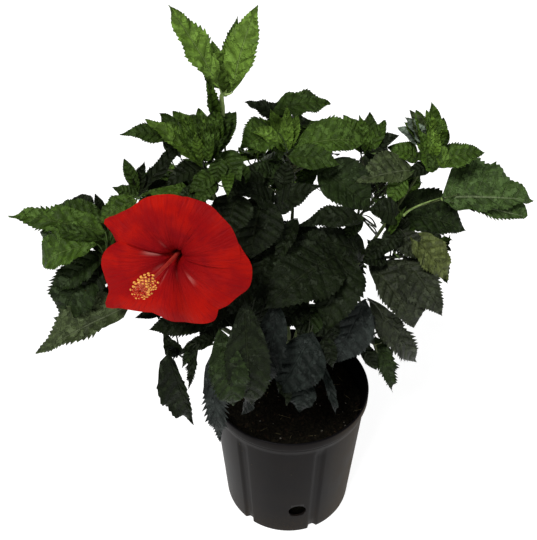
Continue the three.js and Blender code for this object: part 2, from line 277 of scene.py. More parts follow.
# Each tone of leaf: its colour, its veins' colour, and how far its veins, blotches, painted shade along the
# side veins, painted glints and sheen show. The darker tones, dealt to the lower and inner masses,
# partly paint the shade inside the crown, the lighter ones of the top masses partly paint the light from
# above, and the blue tone's grey-blue partly paints a bluish sheen.
leafTones = {
    "young": ((0.084, 0.150, 0.019), (0.22, 0.31, 0.10), 0.5, 0.15, 0.08, 0.8, 0.12),
    "bright": ((0.056, 0.102, 0.012), (0.15, 0.22, 0.06), 0.45, 0.25, 0.12, 0.7, 0.12),
    "fresh": ((0.036, 0.070, 0.008), (0.105, 0.155, 0.04), 0.4, 0.3, 0.15, 0.8, 0.12),
    "mid": ((0.022, 0.042, 0.006), (0.060, 0.090, 0.022), 0.35, 0.4, 0.2, 0.6, 0.1),
    "deep": ((0.0076, 0.0116, 0.0042), (0.022, 0.028, 0.012), 0.3, 0.45, 0.22, 0.5, 0.07),
    "blue": ((0.009, 0.0125, 0.0105), (0.025, 0.032, 0.028), 0.3, 0.4, 0.2, 0.45, 0.09),
    "olive": ((0.056, 0.070, 0.018), (0.12, 0.14, 0.05), 0.35, 0.55, 0.2, 0.9, 0.15),
    "veined": ((0.034, 0.062, 0.014), (0.20, 0.25, 0.13), 0.55, 0.4, 0.3, 1.1, 0.12),
    "dark": ((0.0135, 0.0235, 0.0062), (0.034, 0.048, 0.018), 0.3, 0.45, 0.2, 0.5, 0.08),
    "sage": ((0.039, 0.054, 0.019), (0.13, 0.155, 0.085), 0.5, 0.5, 0.25, 0.9, 0.14),
    "slate": ((0.0155, 0.0200, 0.0178), (0.045, 0.055, 0.050), 0.35, 0.4, 0.2, 0.5, 0.12),
    "silver": ((0.110, 0.142, 0.105), (0.22, 0.26, 0.22), 0.4, 0.5, 0.3, 0.7, 0.14),
    "dull": ((0.017, 0.022, 0.0098), (0.045, 0.055, 0.025), 0.3, 0.6, 0.2, 0.7, 0.18),
}
toneNames = list(leafTones)


def leafFinish(name):
    plain, veinColour, veinShow, blotchShow, grooveShadeShow, glintShow, sheen = leafTones[name]
    material, work = newFinish("leaf-" + name)
    place = work.place()
    across = work.axis(work.ownMap(), "X")
    side = work.maths("ABSOLUTE", across)
    beat = work.maths("FRACT", across.output("Y"))
    offVein = work.maths("ABSOLUTE", beat - 0.5)
    lateral = (1 - work.between(offVein, 0.0, 0.045)) * (1 - work.between(side, 0.4, 0.9))
    midrib = 1 - work.between(side, 0.015, 0.06)
    veins = work.maths("MAXIMUM", lateral * 0.45, midrib)
    patches = work.between(work.noise(place, 22, 2), 0.36, 0.64)
    mottle = work.noise(place, 210, 4, 0.65)
    panel = work.between(offVein + mottle * 0.24, 0.08, 0.40)
    # Painted glints: paler flecks with a little grey added, standing in for highlights.
    glintFrom = 0.60 - glintShow * 0.1
    glints = work.between(work.noise(place, 130, 3, 0.6), glintFrom, glintFrom + 0.08)
    blotches = work.between(work.noise(place, 75, 3), 0.38, 0.62)
    colour = work.mixed(patches, shaded(plain, 0.68), shaded(plain, 1.15))
    colour = work.mixed(blotches * blotchShow, colour, shaded(plain, 0.4))
    # Pale flecks from the mottle: partly the leaf's own mottling, partly painted highlight.
    colour = work.mixed(work.between(mottle, 0.46, 0.64) * 0.6, colour, shaded(plain, 2.1))
    colour = work.mixed(glints * 0.6, colour, shaded(plain, 2.1, 0.013))
    # Painted shade in the grooves along the side veins, away from the raised panels.
    colour = work.mixed((1 - panel) * grooveShadeShow, colour, shaded(plain, 0.5))
    colour = work.mixed(veins * veinShow, colour, veinColour)
    normal = work.bump(mottle * 0.9 + glints * 0.5 + panel * 0.4 - veins * 0.4, 0.002)
    surface(work, colour=colour, roughness=0.36 + mottle * 0.2, normal=normal, specular=sheen)
    return material


leafFinishes = [leafFinish(name) for name in toneNames]
print("leaves:", len(leafFinishes), "tones")


def stalkFinish(name, colour, dark, roughness=0.5):
    material, work = newFinish(name)
    streaks = work.noise(work.place(), 160, 3)
    shade = work.mixed(work.between(streaks, 0.3, 0.7), dark, colour)
    normal = work.bump(streaks, 0.0004, 0.5)
    surface(work, colour=shade, roughness=roughness, normal=normal, specular=0.2)
    return material


stalkFinishes = [
    stalkFinish("green-stalk", (0.075, 0.125, 0.030), (0.035, 0.062, 0.015)),
    stalkFinish("pale-stalk", (0.27, 0.36, 0.12), (0.13, 0.20, 0.05)),
    stalkFinish("dark-stalk", (0.020, 0.027, 0.010), (0.010, 0.013, 0.005)),
]
greenStalk, paleStalk, darkStalk = range(3)
twigFinish = stalkFinish("green-twig", (0.045, 0.052, 0.020), (0.018, 0.020, 0.009), 0.6)

leaf = {
    "widest": (0.34, 0.44),  # how far along the blade is widest
    "full": 2.0,  # higher narrows both ends
    "sweep": 0.42,  # how far the side veins run forward
    "veins": 7,
    "toothFrom": 0.2,  # the first teeth, along the blade
    "toothOut": 0.019,
    "toothForward": 0.026,
    "toothVary": (0.3, 1.5),
    "notch": 0.45,  # how deep the notches are beside the teeth
    "rim": 0.2,  # how much of the half breadth the teeth take in
    "quilt": 0.006,
    "fillRows": 14,
    "leadRows": 38,
    "tuftRows": 10,
}
fillStrips = (0, 0.5, 1)
leadStrips = (0, 0.28, 0.58, 0.86, 1)


def bladeHalfWidth(share, widest, full):
    rise = (max(share, 0) / widest) ** (full * widest)
    return rise * (max(1 - share, 0) / (1 - widest)) ** (full * (1 - widest))


def leafForm(rng, **fixed):
    form = {
        "arch": rng.uniform(0.05, 0.18),
        "fold": rng.uniform(3, 18),
        "twist": rng.uniform(-18, 18),
        "ruffle": rng.uniform(0.02, 0.055),
        "ruffles": rng.uniform(1.5, 4),
        "phase": rng.uniform(0, 6.28),
        "sway": rng.uniform(-0.05, 0.05),
        "widest": rng.uniform(*leaf["widest"]),
        "pleat": 1,
        "uneven": 0,
        "teeth": 1,
        "full": leaf["full"],
    }
    form.update(fixed)
    return form


def addLeaf(bunch, base, tip, facing, breadth, tone, form, rows, strips):
    rng = random.Random(form["phase"])
    length = (tip - base).length
    along = (tip - base) / length
    side = along.cross(facing).normalized()
    lift = side.cross(along)
    fold = math.tan(math.radians(form["fold"]))
    offsets = [-u for u in reversed(strips[1:])] + list(strips)
    sheetRows = []
    for i in range(rows + 1):
        share = i / rows
        isTooth = i % 2 == 1
        beat = math.cos(2 * math.pi * share * leaf["veins"])
        bites = {-1: rng.uniform(*leaf["toothVary"]), 1: rng.uniform(*leaf["toothVary"])}
        row = []
        for u in offsets:
            reach = abs(u)
            half = 1 if u > 0 else -1
            station = share + reach * leaf["sweep"] * math.sqrt(share) * (1 - share)
            width = bladeHalfWidth(station, form["widest"], form["full"]) * breadth / 2
            width *= 1 + form["uneven"] * half
            size = limited((station - leaf["toothFrom"]) * 5) * min((1 - station) * 2.2, 1)
            size *= form["teeth"] * bites[half] * max(reach - 1 + leaf["rim"], 0) / leaf["rim"]
            tooth = size * length * (1 if isTooth else -leaf["notch"])
            station += size * (leaf["toothForward"] if isTooth else 0)
            x = math.copysign(reach * width + tooth * leaf["toothOut"], u) if u else 0
            wave = math.sin(form["ruffles"] * 2 * math.pi * station + form["phase"] + (1.3 if u > 0 else 0))
            quilt = leaf["quilt"] * form["pleat"] * length * math.sin(math.pi * min(reach, 1)) * beat
            z = fold * abs(x) + wave * form["ruffle"] * length * reach ** 2 + quilt
            turn = math.radians(form["twist"]) * (station - 0.5)
            across = side * math.cos(turn) + lift * math.sin(turn)
            above = lift * math.cos(turn) - side * math.sin(turn)
            bow = 4 * station * (1 - station)
            spine = base + along * (station * length) + lift * (form["arch"] * length * bow)
            spine += side * (form["sway"] * length * math.sin(math.pi * station))
            row.append(spine + across * x + above * z)
        sheetRows.append(row)
    maps = [[(u, i / rows * leaf["veins"]) for u in offsets] for i in range(rows + 1)]
    bunch.sheet(sheetRows, maps, toneNames.index(tone))


crown = {
    "seed": 41,
    "shootSteps": 8,
    "spread": (0.24, 0.38),  # how far shoots run out and up, as shares of their mass
    "climb": (-0.22, 0.3),
    "firstSpread": 0.12,  # the same for a mass's middle shoot
    "firstClimb": (0.2, 0.3),
    "sag": (0.05, 0.2),
    "twigRadii": (1.6, 0.6),
    "internode": 8,
    "leafTurn": 144,
    "roomTurns": (0, 40, -40, 85, -85),  # how far round its shoot a leaf looks for room
    "petiole": (10, 24),
    "petioleRadius": 0.75,
    "blade": (42, 78),
    "leastBlade": 26,
    "breadth": (0.52, 0.64),
    "lean": (0.35, 0.7),  # how far a leaf leans along its shoot
    "droop": (0.15, 0.75),
    "tilt": 0.35,  # how far its face may turn from upwards
    "outside": 5,  # how far a leaf may stand out of its mass
    "shootClear": 120,  # a shoot stops where it would stand this near in front of a large leaf
    "leafClear": 160,  # a filling leaf that would is left out
    "tuft": 5,  # young leaves at a shoot's tip
    "tuftBlade": (14, 5),  # the first one's length, and what each next one adds
    "tuftFold": (50, 6),  # the first one's fold, and what each next one opens
    "leastTuftBlade": 9,
}
sunward = Vector((0.05, -0.76, 0.65)).normalized()  # the lit side, which the large leaves face

# For each mass: its number of shoots, the tones that its leaves are dealt from, and whether its tips are
# young. A mass with a stem has one bare shoot, to that point out from the middle of its box.
habits = {
    "leaves_sprig": {"stem": (3, 0, -32), "tones": ("young",), "young": False},
    "leaves_left_top": {"shoots": 2, "tones": ("fresh", "mid", "fresh", "mid"), "young": True},
    "leaves_left": {"shoots": 2, "tones": ("mid", "fresh", "deep", "mid"), "young": True},
    "leaves_left_low": {"shoots": 1, "tones": ("deep", "blue", "mid"), "young": False},
    "leaves_middle": {"shoots": 5, "tones": ("fresh", "mid", "mid", "dark"), "young": True},
    "leaves_middle_right": {"shoots": 4, "tones": ("fresh", "mid", "dark"), "young": True},
    "leaves_right_top": {"shoots": 2, "tones": ("fresh", "mid", "deep"), "young": True},
    "leaves_far_right": {"bare": True},
    "leaves_right": {"shoots": 5, "tones": ("deep", "mid", "olive", "dark"), "young": False},
    "leaves_right_low": {"shoots": 4, "tones": ("blue", "deep", "olive"), "young": False},
    "leaves_centre": {"shoots": 3, "tones": ("deep", "deep", "blue"), "young": False},
    "leaves_front_low": {"shoots": 2, "tones": ("deep", "blue"), "young": False},
    "leaves_front_right": {"shoots": 2, "tones": ("blue", "deep"), "young": False},
    "leaves_heart": {"shoots": 12, "tones": ("deep", "mid", "deep"), "young": False},
    "leaves_inner_left": {"shoots": 11, "tones": ("deep", "mid", "blue"), "young": False},
    "leaves_back_left": {"shoots": 12, "tones": ("mid", "deep", "fresh", "mid"), "young": True},
    "leaves_back": {"shoots": 12, "tones": ("mid", "deep", "fresh", "mid"), "young": True},
    "leaves_back_right": {"shoots": 12, "tones": ("mid", "deep", "fresh", "mid"), "young": True},
    "leaves_back_low": {"shoots": 11, "tones": ("deep", "mid", "blue"), "young": False},
}

# The large leaves that give each mass its look. Each is where its blade starts and where its tip is, out
# from the middle of the mass's box, then its breadth and its tone, and anything special in its form.
leads = {
    "leaves_sprig": [
        ((0, -5, -25), (-35, -5, 40), 22, "young", {"fold": 12, "twist": 0, "widest": 0.52, "full": 2.4}),
        ((10, 0, -30), (30, 10, 35), 24, "young", {"fold": 10, "twist": 0, "widest": 0.52, "full": 2.4}),
        ((5, 5, -30), (15, 20, 25), 14, "fresh", {"fold": 35, "full": 2.3}),
        ((0, 5, -30), (-5, 5, 10), 22, "bright", {"fold": 15, "full": 2}),
        ((5, 5, -35), (5, 10, 10), 16, "bright", {"fold": 30, "full": 2.2}),
        ((-5, 0, -50), (-10, -5, -10), 10, "fresh", {"fold": 55}),
    ],
    "leaves_left_top": [
        ((-10, 5, 15), (-50, -5, 25), 16, "mid", {"fold": 8}),
        ((15, -15, 0), (-30, 0, 35), 14, "bright", {"fold": 30, "widest": 0.5}),
        ((15, -10, 5), (-20, 10, 35), 12, "mid", {"fold": 35, "widest": 0.55}),
        ((15, -10, 5), (-10, 15, 35), 12, "fresh", {"fold": 38, "widest": 0.55}),
        ((15, -10, 5), (-5, 15, 35), 12, "bright", {"fold": 40, "widest": 0.55}),
        ((20, -10, 5), (0, 20, 30), 12, "mid", {"fold": 38, "widest": 0.55}),
        ((20, -5, 5), (10, 20, 35), 12, "fresh", {"fold": 40, "widest": 0.55}),
        ((20, -5, 5), (20, 20, 30), 12, "mid", {"fold": 38, "widest": 0.55}),
        ((25, -5, 5), (25, 20, 35), 12, "fresh", {"fold": 40, "widest": 0.55}),
        ((25, -5, 5), (35, 25, 30), 12, "mid", {"fold": 30, "widest": 0.55}),
        ((25, -5, 5), (40, 25, 30), 14, "mid", {"widest": 0.5}),
        ((15, -25, 10), (0, -15, 30), 8, "fresh", {"fold": 45}),
        ((15, -30, 15), (10, -20, 35), 8, "bright", {"fold": 45}),
        ((20, -30, 15), (20, -15, 40), 8, "fresh", {"fold": 45}),
        ((20, -30, 15), (25, -20, 35), 8, "fresh", {"fold": 45}),
        ((20, -25, 10), (35, -15, 30), 8, "mid", {"fold": 45}),
        ((45, -10, -20), (35, 5, 0), 20, "mid", {}),
        ((20, -40, -10), (20, -30, 5), 16, "deep", {}),
        ((15, -20, 10), (-15, 0, 35), 8, "fresh", {"fold": 50}),
        ((20, -20, 10), (-5, 5, 35), 8, "bright", {"fold": 50}),
        ((20, -20, 10), (0, 5, 35), 8, "fresh", {"fold": 50}),
        ((20, -20, 10), (10, 5, 35), 8, "mid", {"fold": 50}),
        ((20, -20, 10), (15, 5, 35), 8, "bright", {"fold": 50}),
        ((25, -20, 10), (25, 5, 35), 8, "fresh", {"fold": 50}),
        ((25, -15, 10), (30, 10, 30), 8, "fresh", {"fold": 50}),
        ((25, -30, 5), (5, -45, -5), 16, "mid", {}),
        ((30, -25, 15), (25, -35, -5), 14, "mid", {}),
        ((45, -15, -5), (35, -30, -20), 14, "deep", {}),
        ((30, -15, 15), (45, -35, 0), 22, "mid", {}),
        ((35, -30, 5), (35, -50, -5), 10, "fresh", {"fold": 45}),
        ((15, -15, 0), (-15, -35, -5), 18, "deep", {}),
        ((25, -35, 0), (10, -55, -10), 14, "mid", {}),
        ((15, -40, -5), (-5, -50, -10), 16, "dark", {}),
        ((-35, -40, -10), (-5, -10, 15), 12, "deep", {"fold": 15, "widest": 0.6, "arch": 0.03}),
        ((-35, -35, -10), (-45, -25, 15), 10, "mid", {"fold": 30, "widest": 0.5}),
        ((-35, -35, -10), (-30, -20, 10), 10, "deep", {"fold": 30}),
        ((-35, -40, -10), (-55, -35, -5), 12, "mid", {}),
        ((-30, -30, -10), (-10, -20, -10), 8, "deep", {"fold": 35}),
        ((-35, -45, -10), (-65, -55, -25), 20, "fresh", {}),
    ],
    "leaves_left": [
        ((25, 5, 30), (-55, 20, 35), 24, "fresh",
         {"fold": 10, "twist": 0, "widest": 0.36, "teeth": 1, "full": 1.7, "uneven": 0.1}),
        ((25, 15, 30), (-20, 35, 35), 18, "mid", {"fold": 20}),
        ((25, 0, 25), (-20, 5, 30), 12, "mid", {"fold": 25, "widest": 0.5}),
        ((20, 5, 20), (-20, 10, 20), 12, "mid", {"fold": 25, "widest": 0.5}),
        ((10, 25, 30), (-5, 40, 40), 22, "deep", {"widest": 0.5}),
        ((20, 25, 35), (15, 30, 50), 8, "deep", {}),
        ((20, -5, 25), (-25, -10, 10), 30, "fresh",
         {"widest": 0.6, "uneven": 0.2, "teeth": 1.5, "full": 1.4}),
        ((30, 5, 10), (10, 10, 30), 18, "mid", {}),
        ((35, 5, -5), (10, 5, 20), 18, "dark", {}),
        ((20, 5, 10), (-15, -15, -15), 24, "dark", {"teeth": 1.5}),
        ((25, 5, 0), (5, -15, -25), 22, "deep", {}),
        ((15, 10, 0), (-15, -20, -40), 40, "dark", {"twist": 10, "widest": 0.5, "teeth": 2}),
        ((30, 0, -45), (0, -15, -25), 28, "dark", {}),
        ((40, -15, -30), (-35, -40, -60), 32, "sage",
         {"fold": 20, "widest": 0.34, "teeth": 1.2, "full": 1.8, "uneven": 0.35}),
    ],
    "leaves_left_low": [
        ((-5, -5, 35), (10, 0, -60), 24, "deep",
         {"sway": 0, "twist": 0, "fold": 12, "uneven": 0.6, "teeth": 0.5, "widest": 0.42, "full": 2}),
        ((20, -5, 45), (10, -5, -10), 8, "deep", {"fold": 40}),
        ((30, 10, 55), (-20, 0, 55), 22, "deep", {"teeth": 1.5}),
        ((-10, 20, 55), (-35, 20, 50), 8, "deep", {}),
        ((35, 0, 45), (5, -5, 35), 12, "deep", {"fold": 20}),
        ((25, 0, 45), (5, -5, 15), 8, "dark", {"fold": 30}),
    ],
    "leaves_middle": [
        ((-10, 35, 10), (-50, 40, 30), 18, "deep", {}),
        ((-30, 35, 20), (30, 45, 25), 24, "mid", {"widest": 0.5}),
        ((-10, 0, 0), (-35, 20, 25), 16, "young", {"fold": 35}),
        ((-10, 0, 0), (-25, 25, 30), 14, "young", {"fold": 35}),
        ((-10, 0, 0), (-10, 25, 35), 12, "young", {"fold": 38}),
        ((-10, 0, 0), (0, 25, 25), 12, "young", {"fold": 38}),
        ((-15, -20, 20), (-45, -10, 30), 12, "young", {"fold": 30}),
        ((-5, 0, 5), (60, 10, 5), 34, "fresh", {"widest": 0.5, "uneven": -0.15}),
        ((-10, -15, 5), (35, -20, 0), 24, "mid", {}),
        ((-20, -5, 25), (-50, -30, 20), 34, "fresh", {"teeth": 1.4}),
        ((-20, -25, -10), (-45, -40, 10), 18, "dark", {}),
        ((-30, -40, 0), (-60, -60, 5), 20, "deep", {}),
        ((-15, -40, -15), (-10, -30, 10), 18, "deep", {}),
    ],
    "leaves_middle_right": [
        ((0, 0, 5), (0, 30, 30), 18, "mid", {"fold": 25}),
        ((-5, 0, 5), (-10, 25, 30), 10, "fresh", {"fold": 35}),
        ((0, 0, 5), (15, 25, 25), 12, "fresh", {"fold": 30}),
        ((-5, 5, 5), (25, 5, 20), 18, "deep", {}),
        ((-50, -20, 0), (0, -35, -35), 46, "dark", {"fold": 25}),
        ((-5, 10, 5), (-25, 25, 30), 20, "fresh", {}),
    ],
    "leaves_right_top": [
        ((-5, 0, -15), (40, 0, -5), 24, "fresh", {"full": 1.7, "teeth": 1.4}),
        ((-15, 0, -5), (-35, 10, 20), 12, "fresh", {"fold": 35, "widest": 0.55}),
        ((-15, 0, -5), (-25, 15, 30), 10, "sage", {"fold": 38, "widest": 0.55}),
        ((-5, -15, -15), (-25, -10, 10), 22, "fresh", {"fold": 20}),
        ((5, -10, -15), (-15, -5, 5), 18, "bright", {"fold": 25}),
        ((-15, 0, -5), (-40, 10, 15), 14, "silver", {"fold": 35, "widest": 0.55}),
        ((-15, 0, -5), (-35, 10, 25), 12, "silver", {"fold": 38, "widest": 0.55}),
        ((-15, 0, -5), (-30, 15, 30), 12, "sage", {"fold": 38, "widest": 0.55}),
        ((-15, 0, -5), (-25, 15, 30), 12, "fresh", {"fold": 40, "widest": 0.55}),
        ((-10, 0, -5), (-15, 15, 30), 12, "young", {"fold": 40, "widest": 0.55}),
        ((-10, 0, -5), (-10, 20, 35), 12, "fresh", {"fold": 38, "widest": 0.55}),
        ((-10, 0, -5), (-5, 15, 30), 12, "young", {"fold": 38, "widest": 0.55}),
        ((-5, 0, -5), (0, 10, 25), 12, "fresh", {"fold": 38, "widest": 0.55}),
        ((-5, 0, -5), (5, 5, 15), 12, "mid", {"fold": 35, "widest": 0.55}),
        ((-15, -10, -5), (-25, 0, 20), 10, "fresh", {"fold": 45}),
        ((-10, -10, -5), (-15, 0, 25), 10, "young", {"fold": 45}),
        ((-10, -10, -5), (-5, -5, 15), 10, "young", {"fold": 45}),
        ((-25, -15, -15), (-80, -35, -15), 30, "sage", {"uneven": 0.3}),
        ((-10, -15, -10), (-35, -20, -20), 14, "deep", {}),
        ((-20, -5, -10), (-50, 0, 0), 20, "fresh", {}),
        ((-35, -25, -15), (-50, -40, -35), 18, "fresh", {}),
        ((-25, -10, 0), (-5, -20, -10), 14, "mid", {}),
    ],
    "leaves_far_right": [
        ((-40, 0, -10), (45, -5, -10), 52, "veined",
         {"fold": 6, "twist": 0, "widest": 0.34, "uneven": -0.45, "arch": 0.05, "full": 1.6,
          "foot": (-80, -30, -10)}),
        ((-40, -5, -10), (40, -10, -25), 30, "veined",
         {"fold": 4, "twist": 0, "widest": 0.62, "arch": 0.03, "full": 1.6, "teeth": 1.5, "uneven": -0.5,
          "foot": (-40, 0, -10)}),
    ],
    "leaves_right": [
        ((-10, 60, 5), (65, 55, -10), 46, "dark", {"uneven": -0.25}),
        ((-10, 15, 35), (-40, 10, 45), 26, "deep", {}),
        ((-20, 5, 20), (-5, 15, 45), 6, "fresh", {"fold": 45, "teeth": 0}),
        ((-10, 10, 25), (-25, -5, 5), 18, "deep", {}),
        ((-15, 15, 15), (15, -10, 0), 24, "dull", {}),
        ((0, 10, 20), (35, -15, -15), 30, "olive", {"widest": 0.45}),
        ((-5, 0, 0), (30, -35, -40), 36, "dull", {"uneven": 0.25, "teeth": 1.5}),
        ((-20, 5, 15), (-40, -5, 0), 18, "deep", {}),
        ((-35, 5, -10), (5, -40, -50), 50, "dull", {"widest": 0.5, "uneven": -0.45, "teeth": 1.5}),
        ((-20, 0, 0), (-45, -15, 5), 18, "deep", {}),
        ((-25, 0, 0), (-40, 0, 20), 12, "deep", {}),
    ],
    "leaves_right_low": [
        ((-15, -10, 60), (-40, -30, 0), 34, "slate", {"widest": 0.45, "uneven": -0.25}),
        ((-10, 10, 45), (45, 5, -35), 26, "dull", {"widest": 0.45, "uneven": 0.3, "teeth": 1.6}),
        ((0, 5, 25), (25, -5, 0), 28, "dull", {}),
        ((0, 0, 5), (20, -15, -55), 18, "dark", {"teeth": 1.6}),
        ((-15, -15, 10), (0, -25, -15), 14, "deep", {}),
    ],
    "leaves_centre": [
        ((35, 25, 0), (-30, -40, -5), 56, "deep", {"widest": 0.45, "foot": (50, 50, -30)}),
        ((55, 50, 25), (40, 40, 5), 14, "dark", {"foot": (70, 60, 5)}),
        ((40, 25, 0), (20, -40, -35), 46, "deep", {"foot": (50, 45, -35)}),
        ((55, 40, 25), (0, 40, 20), 20, "deep", {"arch": 0.28, "foot": (70, 55, 0)}),
        ((60, 45, -15), (-10, 25, 15), 34, "deep", {"foot": (70, 60, -30)}),
    ],
    "leaves_front_low": [
        ((5, 0, 95), (10, -20, -5), 36, "deep", {"widest": 0.5}),
        ((20, 50, 95), (10, 25, 55), 26, "deep", {}),
        ((15, 35, 90), (-10, 15, 65), 22, "deep", {}),
        ((0, 40, 50), (-25, 20, 45), 22, "deep", {}),
        ((-15, -5, 70), (-5, -25, 0), 30, "dark", {"widest": 0.5, "teeth": 1.5}),
        ((-5, 30, 70), (-30, 15, 50), 16, "deep", {}),
        ((-15, 25, 55), (-35, 15, 30), 16, "deep", {}),
        ((25, 50, 60), (20, 40, 25), 24, "deep", {}),
        ((-25, 10, 25), (-20, 0, -75), 18, "slate", {"teeth": 1.4}),
    ],
    "leaves_front_right": [
        ((10, 10, 25), (-20, -20, -20), 42, "blue", {"widest": 0.45, "uneven": -0.25, "foot": (5, 25, 15)}),
        ((-5, 25, 40), (20, 15, 15), 28, "deep", {"foot": (5, 40, 35)}),
        ((-10, 35, 45), (-30, 25, 20), 26, "deep", {"foot": (0, 45, 45)}),
        ((20, 35, 25), (30, 25, -5), 22, "deep", {}),
        ((15, 30, 40), (0, 15, 10), 26, "dark", {}),
        ((-20, 5, 65), (-35, -20, -20), 26, "blue", {"foot": (-10, 25, 55)}),
        ((20, 20, 10), (30, 10, -20), 16, "deep", {"foot": (15, 30, 10)}),
        ((5, -5, -20), (0, -15, -50), 24, "blue", {"foot": (5, 5, -20)}),
        ((5, 30, 45), (-20, 15, 25), 26, "deep", {}),
        ((15, 15, -5), (35, 5, -75), 8, "blue", {"fold": 45, "teeth": 0.3}),
    ],
    "leaves_heart": [
        ((-20, -25, 80), (-30, -60, 40), 46, "deep", {"widest": 0.45}),
        ((-40, -45, 95), (-50, -75, 70), 34, "deep", {}),
        ((-5, -30, 35), (-30, -50, 25), 18, "deep", {}),
        ((-10, -15, 60), (30, -25, 90), 24, "deep", {}),
        ((-10, -20, 65), (-45, -40, 95), 22, "deep", {}),
        ((10, -30, 60), (-10, -65, 35), 14, "deep", {"fold": 30}),
        ((10, -35, 30), (-25, -70, 25), 30, "deep", {}),
    ],
}

# Where the sky shows through the crown from the front: a point on each line of sight, and how far round it
# no filling leaf may come.
skyGaps = [
    ((-50, 20, 435), 5), ((-35, 20, 415), 3), ((-30, 20, 395), 5), ((-75, 20, 395), 4), ((15, 20, 400), 5),
    ((0, 20, 355), 4), ((10, 20, 370), 5), ((20, 20, 375), 6), ((35, 20, 380), 5), ((35, 20, 350), 6),
    ((50, 20, 425), 7), ((80, 20, 390), 5), ((80, 20, 375), 5), ((120, 20, 400), 7), ((110, 20, 390), 4),
    ((65, 20, 365), 5), ((75, 20, 345), 5), ((65, 20, 325), 5), ((70, 20, 275), 7), ((80, 20, 265), 6),
    ((95, 20, 250), 5), ((115, 20, 230), 5), ((-185, 20, 280), 5), ((-130, 20, 430), 8),
    ((-120, 20, 420), 7), ((-100, 20, 410), 7), ((-90, 20, 420), 4), ((135, 20, 445), 8),
    ((150, 20, 440), 7), ((125, 20, 155), 10), ((-215, 20, 375), 8), ((-245, 20, 335), 8),
    ((120, 20, 455), 4), ((0, 20, 320), 5), ((165, 20, 320), 8), ((165, 20, 290), 9),
    ((-175, 20, 200), 12), ((-90, 20, 125), 9),
]
camera = {"lens": 50, "sensor": 36, "distance": 692.61, "elevation": 38.05, "target": (-22, 0, 313.7)}
lookDown = math.radians(camera["elevation"])
lookBack = Vector((0, -math.cos(lookDown), math.sin(lookDown)))
frontEye = (Vector(camera["target"]) + lookBack * camera["distance"]) * mm
skyPoints = [(Vector(place) * mm, width * mm) for place, width in skyGaps]
skyLines = [(place, (place - frontEye).normalized(), width) for place, width in skyPoints]


def blocksSky(points):
    for place, direction, width in skyLines:
        for point in points:
            offset = point - place
            if (offset - direction * offset.dot(direction)).length < width:
                return True
    return False


def middleOf(node):
    low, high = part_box(node)
    return (low + high) / 2


def nearestTo(point, spots):
    return min(spots, key=lambda spot: (spot - point).length)


def limbTip(mass):  # where the mass's own bough ends
    points = [vertex.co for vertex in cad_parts[mass.replace("leaves_", "bough_")].data.vertices]
    middle = middleOf(mass)
    nearest = sorted(points, key=lambda point: (point - middle).length)[:6]
    return sum(nearest, Vector()) / len(nearest)


def hintFor(direction):  # the way that a blade's face turns
    hint = Vector((0, -0.55, 0.83))
    if abs(hint.dot(direction)) > 0.96:
        hint = Vector((0, -1, 0))
    return hint


leadBunches = {}
leadBases = {}


def growLeads():
    rng = random.Random(crown["seed"])
    for mass, rows in leads.items():
        bunch = Bunch()
        middle = middleOf(mass)
        leadBases[mass] = []
        for start, end, breadth, tone, special in rows:
            base = middle + Vector(start) * mm
            tip = middle + Vector(end) * mm
            direction = (tip - base).normalized()
            steady = {"sway": rng.uniform(-0.015, 0.015), "twist": rng.uniform(-8, 8)}
            steady["pleat"] = 1.8 if tone == "young" else 1
            form = leafForm(rng, **{**steady, **special})
            hint = hintFor(direction)
            addLeaf(bunch, base, tip, hint, breadth * mm, tone, form, leaf["leadRows"], leadStrips)
            foot = middle + Vector(special["foot"]) * mm if "foot" in special else None
            leadBases[mass].append((base, direction, tone, foot))
        leadBunches[mass] = bunch


def growShield():  # what no other leaf may hang in front of
    points = []
    faces = []
    for bunch in leadBunches.values():
        faces.extend(tuple(corner + len(points) for corner in face) for face in bunch.faces)
        points.extend(bunch.points)
    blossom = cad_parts["bloom"].data
    faces.extend(tuple(corner + len(points) for corner in face.vertices) for face in blossom.polygons)
    points.extend(vertex.co.copy() for vertex in blossom.vertices)
    return BVHTree.FromPolygons(points, faces)


def hides(shield, spot, reach):
    return shield.ray_cast(spot, -sunward, reach * mm)[0] is not None


class Mass:  # the room that one mass of leaves may fill
    def __init__(self, name):
        mesh = weldedCopy([name])
        faces = [tuple(face.vertices) for face in mesh.polygons]
        self.tree = BVHTree.FromPolygons([vertex.co for vertex in mesh.vertices], faces)
        bpy.data.meshes.remove(mesh)
        low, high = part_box(name)
        self.middle = (low + high) / 2
        self.size = high - low

    def holds(self, point):
        found, normal, _, _ = self.tree.find_nearest(point)
        return (point - found).dot(normal) < 0

    def room(self, point, direction):  # how far it is from a point to the surface
        found, _, _, distance = self.tree.ray_cast(point, direction)
        return distance if found else 0


def growShoots(rng, mass, room, habit, shield):
    start = limbTip(mass)
    if habit.get("bare"):
        return []
    if "stem" in habit:
        end = room.middle + Vector(habit["stem"]) * mm
        return [bezier(start, start.lerp(end, 0.5) - Vector((0, 3, 0)) * mm, end, crown["shootSteps"])]
    shoots = []
    spin = rng.uniform(0, 360)
    for k in range(habit["shoots"]):
        angle = math.radians(spin + 360 * k / habit["shoots"])
        spread = rng.uniform(*crown["spread"]) if k else crown["firstSpread"]
        climb = rng.uniform(*(crown["climb"] if k else crown["firstClimb"]))
        end = room.middle + Vector((
            room.size.x * spread * math.cos(angle),
            room.size.y * spread * math.sin(angle),
            room.size.z * climb,
        ))
        foot = shoots[0][min(k, len(shoots[0]) - 1)] if k else start
        bend = (foot + end) / 2 - upward * rng.uniform(*crown["sag"]) * (end - foot).length
        shoots.append(clearOf(shield, bezier(foot, bend, end, crown["shootSteps"])))
    return shoots


def clearOf(shield, path):  # the shoot as far as it stays behind the large leaves
    for count in range(2, len(path)):
        step = path[count] - path[count - 1]
        crossed = shield.ray_cast(path[count - 1], step.normalized(), step.length)[0]
        if crossed or hides(shield, path[count], crown["shootClear"]):
            return path[:count]
    return path


def stalkFor(tone):
    return greenStalk if tone in ("young", "bright", "fresh", "mid", "veined") else darkStalk


